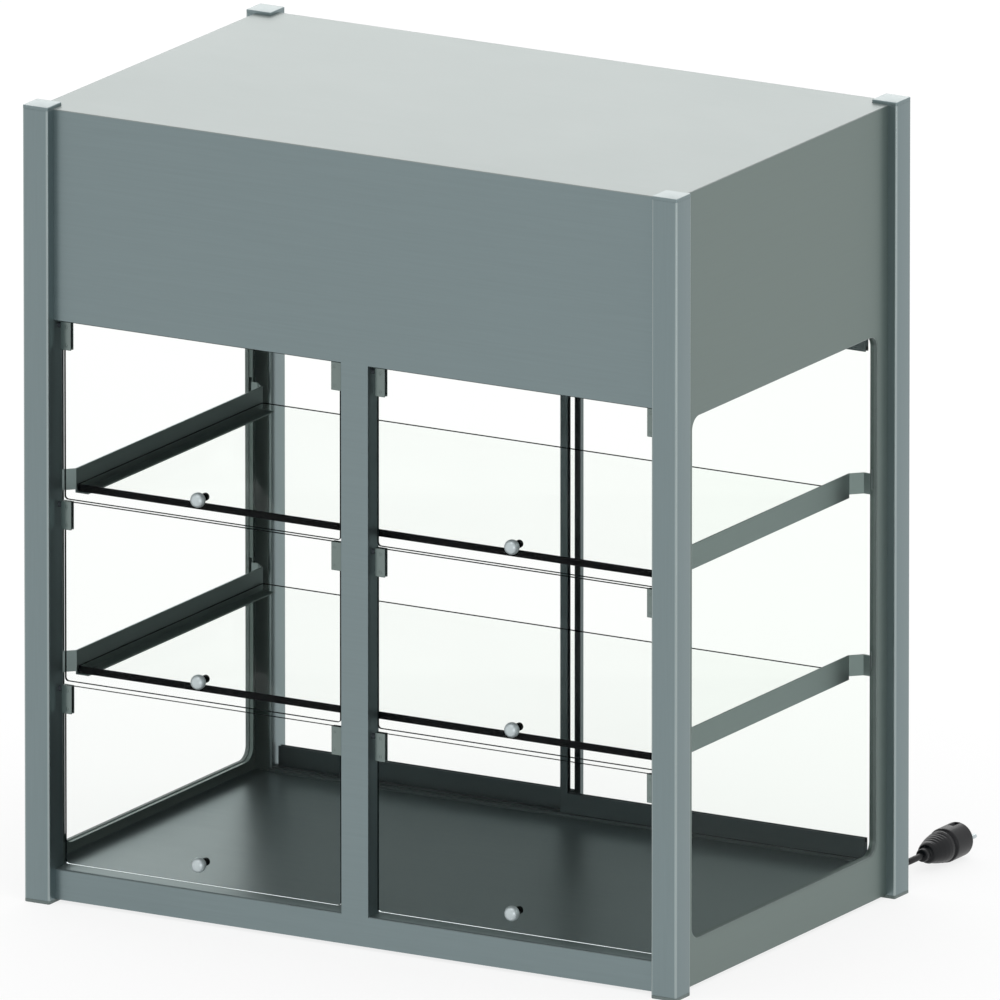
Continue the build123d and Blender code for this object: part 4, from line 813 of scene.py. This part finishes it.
def knob_profile(pane_front, ball_y):
    """Ball, neck and seat: the ball is radius times (sin, -cos) of the angle from its front pole."""
    neck_angle = math.pi - math.asin(SEAT_RADIUS / BALL_RADIUS)
    # It starts a hair off the pole, so that the first ring has a size and its closing face is a small flat
    angle = np.linspace(0.02, neck_angle, 26)
    ball = np.column_stack([BALL_RADIUS * np.sin(angle), ball_y - BALL_RADIUS * np.cos(angle)])
    seat = [(SEAT_RADIUS, pane_front - SEAT_CHAMFER), (SEAT_RADIUS - SEAT_CHAMFER, pane_front)]
    return np.concatenate([ball, seat])


def back_nut_profile(pane_rear):
    """The round nut behind the pane: its rear edge is a quarter round, as on the plug's pins."""
    edge = np.linspace(0, math.pi / 2, 6)
    rounding = pane_rear + NUT_LENGTH - NUT_ROUND
    end = np.column_stack([BACK_NUT_RADIUS - NUT_ROUND * (1 - np.cos(edge)),
                           rounding + NUT_ROUND * np.sin(edge)])
    return np.concatenate([[(BACK_NUT_RADIUS, pane_rear)], end])


for place in FLAP_PLACES:
    low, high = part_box("flap_knob_" + place)
    pane_low, pane_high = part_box("flap_pane_" + place)
    centre = ((low.x + high.x) / 2, 0, (low.z + high.z) / 2)
    ball = turned_rings(knob_profile(pane_low.y, low.y + BALL_RADIUS), centre, "xzy")
    nut = turned_rings(back_nut_profile(pane_high.y), centre, "xzy", 36)
    # The nut behind the pane takes the painted near-black shade, material 1
    make_piece("knob_" + place, [ring_part(ball), ring_part(nut, 1, 1)], [knob_plating, painted_shade_dark],
               "flap_" + place, ["flap_knob_" + place], 50)
print("knobs made")

# %% [markdown]
# Each flap hangs from two stainless clamps that grip its upper corners. A clamp is a short length of
# channel: a front plate and a rear plate joined at the outer side, with the pane between them. Two
# countersunk socket screws pull the plates together, and a round pin in the outer side turns in a bush. The
# channel is a plan outline carried upward, drawn in a little at both ends so that its cut edges catch the
# light.

# %% Hinge clamps
CLAMP_WIDTH = 12 * MM
CLAMP_HEIGHT = 30.3 * MM
CLAMP_FRONT = 1.7 * MM
CLAMP_REAR = 1.8 * MM
CLAMP_ROUND = 0.6 * MM
CLAMP_BEVEL = 0.25 * MM
POST_OVERLAP = 3 * MM
MULLION_OVERLAP = 2 * MM
PIVOT_DROP = 4.7 * MM
PIVOT_RADIUS = 1.5 * MM
PIVOT_REACH = 7 * MM
PIVOT_SEAT = 1 * MM
PIVOT_CHAMFER = 0.4 * MM
SCREW_INSET = 7.5 * MM
SCREW_DROPS = (5.4 * MM, 24.9 * MM)
# Radius and depth of a screw's head, from its rim across the head and down into its socket
SCREW_PROFILE = np.array([(2.3, 0.3), (2.3, 0), (2.15, -0.1), (1.15, -0.1), (1.0, 0.05), (1.0, 0.7)]) * MM
# The head has the clamp's steel, material 0, and the socket is painted shade, near-black, material 2
SCREW_BANDS = np.array([0, 0, 0, 2, 2])[:, None]


def channel_rings(face, outward, overlap, pane_low, pane_high):
    """Rings of a channel round a pane's corner. Seen from above, the outline runs round the two plates
    with quarter rounds of the clamp's radius outside, and back round the slot that holds the pane."""
    turn = np.linspace(0, math.pi / 2, 4)
    front, rear = pane_low.y - CLAMP_FRONT, pane_high.y + CLAMP_REAR
    bottom, top = pane_high.z - CLAMP_HEIGHT, pane_high.z
    rings = []
    for z, inset in ((bottom, CLAMP_BEVEL), (bottom + CLAMP_BEVEL, 0),
                     (top - CLAMP_BEVEL, 0), (top, CLAMP_BEVEL)):
        corners = [(inset, front + inset, -1, -1), (inset, rear - inset, -1, 1),
                   (CLAMP_WIDTH - inset, rear - inset, 1, 1), (CLAMP_WIDTH - inset, front + inset, 1, -1)]
        rounds = []
        for number, (u, v, sign_u, sign_v) in enumerate(corners):
            angle = turn if number % 2 else turn[::-1]
            rounds.append(np.column_stack([u - sign_u * CLAMP_ROUND * (1 - np.cos(angle)),
                                           v - sign_v * CLAMP_ROUND * (1 - np.sin(angle))]))
        slot = [(CLAMP_WIDTH - inset, pane_high.y + inset), (overlap - inset, pane_high.y + inset),
                (overlap - inset, pane_low.y - inset), (CLAMP_WIDTH - inset, pane_low.y - inset)]
        outline = np.concatenate([*rounds[:3], slot, rounds[3]])
        rings.append(np.column_stack([face - outward * outline[:, 0], outline[:, 1],
                                      np.full(len(outline), z)]))
    return np.array(rings)


def clamp_parts(edge_x, outward, overlap, pane_low, pane_high):
    """One clamp at a pane's edge: the channel, two screws whose sockets are painted near-black as shade, and
    the pin, whose profile runs outward from inside the channel to a chamfered tip."""
    face = edge_x + outward * overlap
    front, rear = pane_low.y - CLAMP_FRONT, pane_high.y + CLAMP_REAR
    parts = [ring_part(channel_rings(face, outward, overlap, pane_low, pane_high))]
    for drop in SCREW_DROPS:
        screw = (face - outward * SCREW_INSET, front, pane_high.z - drop)
        parts.append(ring_part(turned_rings(SCREW_PROFILE, screw, "xzy", 24), SCREW_BANDS, 2))
    pin = np.array([(PIVOT_RADIUS, -PIVOT_SEAT), (PIVOT_RADIUS, PIVOT_REACH - PIVOT_CHAMFER),
                    (PIVOT_RADIUS - PIVOT_CHAMFER, PIVOT_REACH)]) * [1, outward]
    pivot = (face, (front + rear) / 2, pane_high.z - PIVOT_DROP)
    return parts + [ring_part(turned_rings(pin, pivot, "yzx", 20), 1, 1)]


for place in FLAP_PLACES:
    pane_low, pane_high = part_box("flap_pane_" + place)
    toward_post = 1 if place.endswith("right") else -1
    post_edge, mullion_edge = (pane_high.x, pane_low.x)[::toward_post]
    parts = clamp_parts(post_edge, toward_post, POST_OVERLAP, pane_low, pane_high)
    parts += clamp_parts(mullion_edge, -toward_post, MULLION_OVERLAP, pane_low, pane_high)
    make_piece("clamps_" + place, parts, [clamp_steel, screw_plating, painted_shade_dark], "flap_" + place,
               ["hinge_clamps_" + place], 35)
print("clamps made")

# %% [markdown]
# The nodes that already have their true shape keep it and only get their finish. Each name starts with
# what the piece is, so a short list of beginnings gives every node its material. The first beginning that
# fits counts, and the empty one at the end takes what is left, the plain sheets.

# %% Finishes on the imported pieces
FINISHES = [
    ("side_panel", side_painted_shade_steel), ("top_cover", lid_painted_light_steel), ("floor_deck", deck_painted_shade_steel),
    ("deck_bearers", deck_painted_shade_steel), ("shelf_rails", rail_steel), ("rail_screws", screw_plating),
    ("hinge_clamps", clamp_steel), ("hinge_bushes", bush_nylon), ("side_glass_seals", seal_painted_light_rubber),
    ("side_glass", glass_face), ("rear_door_glass", door_glass_face), ("rear_door_frame", door_painted_shade_steel),
    ("bottom_door_track", track_aluminium), ("top_door_track", track_aluminium),
    ("led_diffuser", opal_acrylic), ("led_housing", powder_coat), ("led_driver", case_plastic),
    ("terminal_block", terminal_plastic), ("switch_", switch_nylon), ("internal_wiring", lead_pvc),
    ("post_feet", foot_nylon), ("", sheet_steel),
]
for name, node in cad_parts.items():
    finish = next(material for start, material in FINISHES if name.startswith(start))
    node.data.materials.clear()
    node.data.materials.append(finish)
print("finishes given to", len(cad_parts), "nodes")

# %% [markdown]
# The floor is white and wide. For the light it is matt paper, which keeps the cabinet's soft shadow. The
# camera and the metal see it mixed with plain white, so that it stays white under lamps of a plain level.

# %% Floor
FLOOR_SIZE = 240.0
# The share of plain white in what the camera and the metal see of the floor
FLOOR_GLOW = 0.8
floor_mesh = bpy.data.meshes.new("floor")
half = FLOOR_SIZE / 2
floor_mesh.from_pydata([(-half, -half, 0), (half, -half, 0), (half, half, 0), (-half, half, 0)], [],
                       [(0, 1, 2, 3)])
floor = bpy.data.objects.new("floor", floor_mesh)
scene.collection.objects.link(floor)
floor_material, tree, output = empty_material("white_paper")
paper = add(tree, "ShaderNodeBsdfDiffuse", {"Color": linear("#ffffff")}).outputs[0]
glow = add(tree, "ShaderNodeEmission", {"Strength": 1.0}).outputs[0]
path = add(tree, "ShaderNodeLightPath").outputs
looked = add(tree, "ShaderNodeMath", {}, {0: path["Is Camera Ray"], 1: path["Is Glossy Ray"]},
             operation="MAXIMUM").outputs[0]
share = add(tree, "ShaderNodeMath", {1: FLOOR_GLOW}, {0: looked}, operation="MULTIPLY").outputs[0]
mixed = add(tree, "ShaderNodeMixShader", {}, {0: share, 1: paper, 2: glow})
tree.links.new(mixed.outputs[0], output.inputs[0])
floor_mesh.materials.append(floor_material)
print("floor laid,", FLOOR_SIZE, "m wide")

# %% [markdown]
# The world is white for the camera and for what metal and glass mirror, and a little under white for the
# light that falls on the object, so that colours come out as they are written. Soft lamps above and behind
# shape the top, as the sky of a photographer's tent does, along with the painted light of the lid and the
# caps, and a tall strip at the right gives the posts' corners their line of light, along with the rounds'
# painted highlight.

# %% World and lamps
WORLD_FILL = 0.97
world = bpy.data.worlds.new("world")
scene.world = world
world.use_nodes = True
tree = world.node_tree
tree.nodes.clear()
path = add(tree, "ShaderNodeLightPath").outputs
seen = add(tree, "ShaderNodeMath", {}, {0: path["Is Camera Ray"], 1: path["Is Glossy Ray"]},
           operation="MAXIMUM").outputs[0]
seen = add(tree, "ShaderNodeMath", {}, {0: seen, 1: path["Is Transmission Ray"]},
           operation="MAXIMUM").outputs[0]
white = add(tree, "ShaderNodeBackground", {"Color": (1, 1, 1, 1), "Strength": 1.0}).outputs[0]
fill = add(tree, "ShaderNodeBackground", {"Color": (1, 1, 1, 1), "Strength": WORLD_FILL}).outputs[0]
mixed = add(tree, "ShaderNodeMixShader", {}, {0: seen, 1: fill, 2: white}).outputs[0]
add(tree, "ShaderNodeOutputWorld", {}, {"Surface": mixed})


def softbox(name, place, aim, size, power):
    """A rectangular area lamp that points at its aim."""
    lamp = bpy.data.lights.new(name, "AREA")
    lamp.shape = "RECTANGLE"
    lamp.size, lamp.size_y = size
    lamp.energy = power
    holder = bpy.data.objects.new(name, lamp)
    holder.location = place
    holder.rotation_mode = "QUATERNION"
    holder.rotation_quaternion = (Vector(aim) - Vector(place)).to_track_quat("-Z", "Y")
    scene.collection.objects.link(holder)


softbox("overhead", (0.3, -0.6, 3.2), (0, 0, 0.4), (2.0, 1.5), 8)
softbox("behind", (-1.6, 3.4, 1.9), (0, 0, 0.85), (3.0, 1.4), 22)
softbox("corner_strip", (3.4, -2.0, 0.6), (0, 0, 0.4), (0.5, 1.8), 12)
print("stage lit")
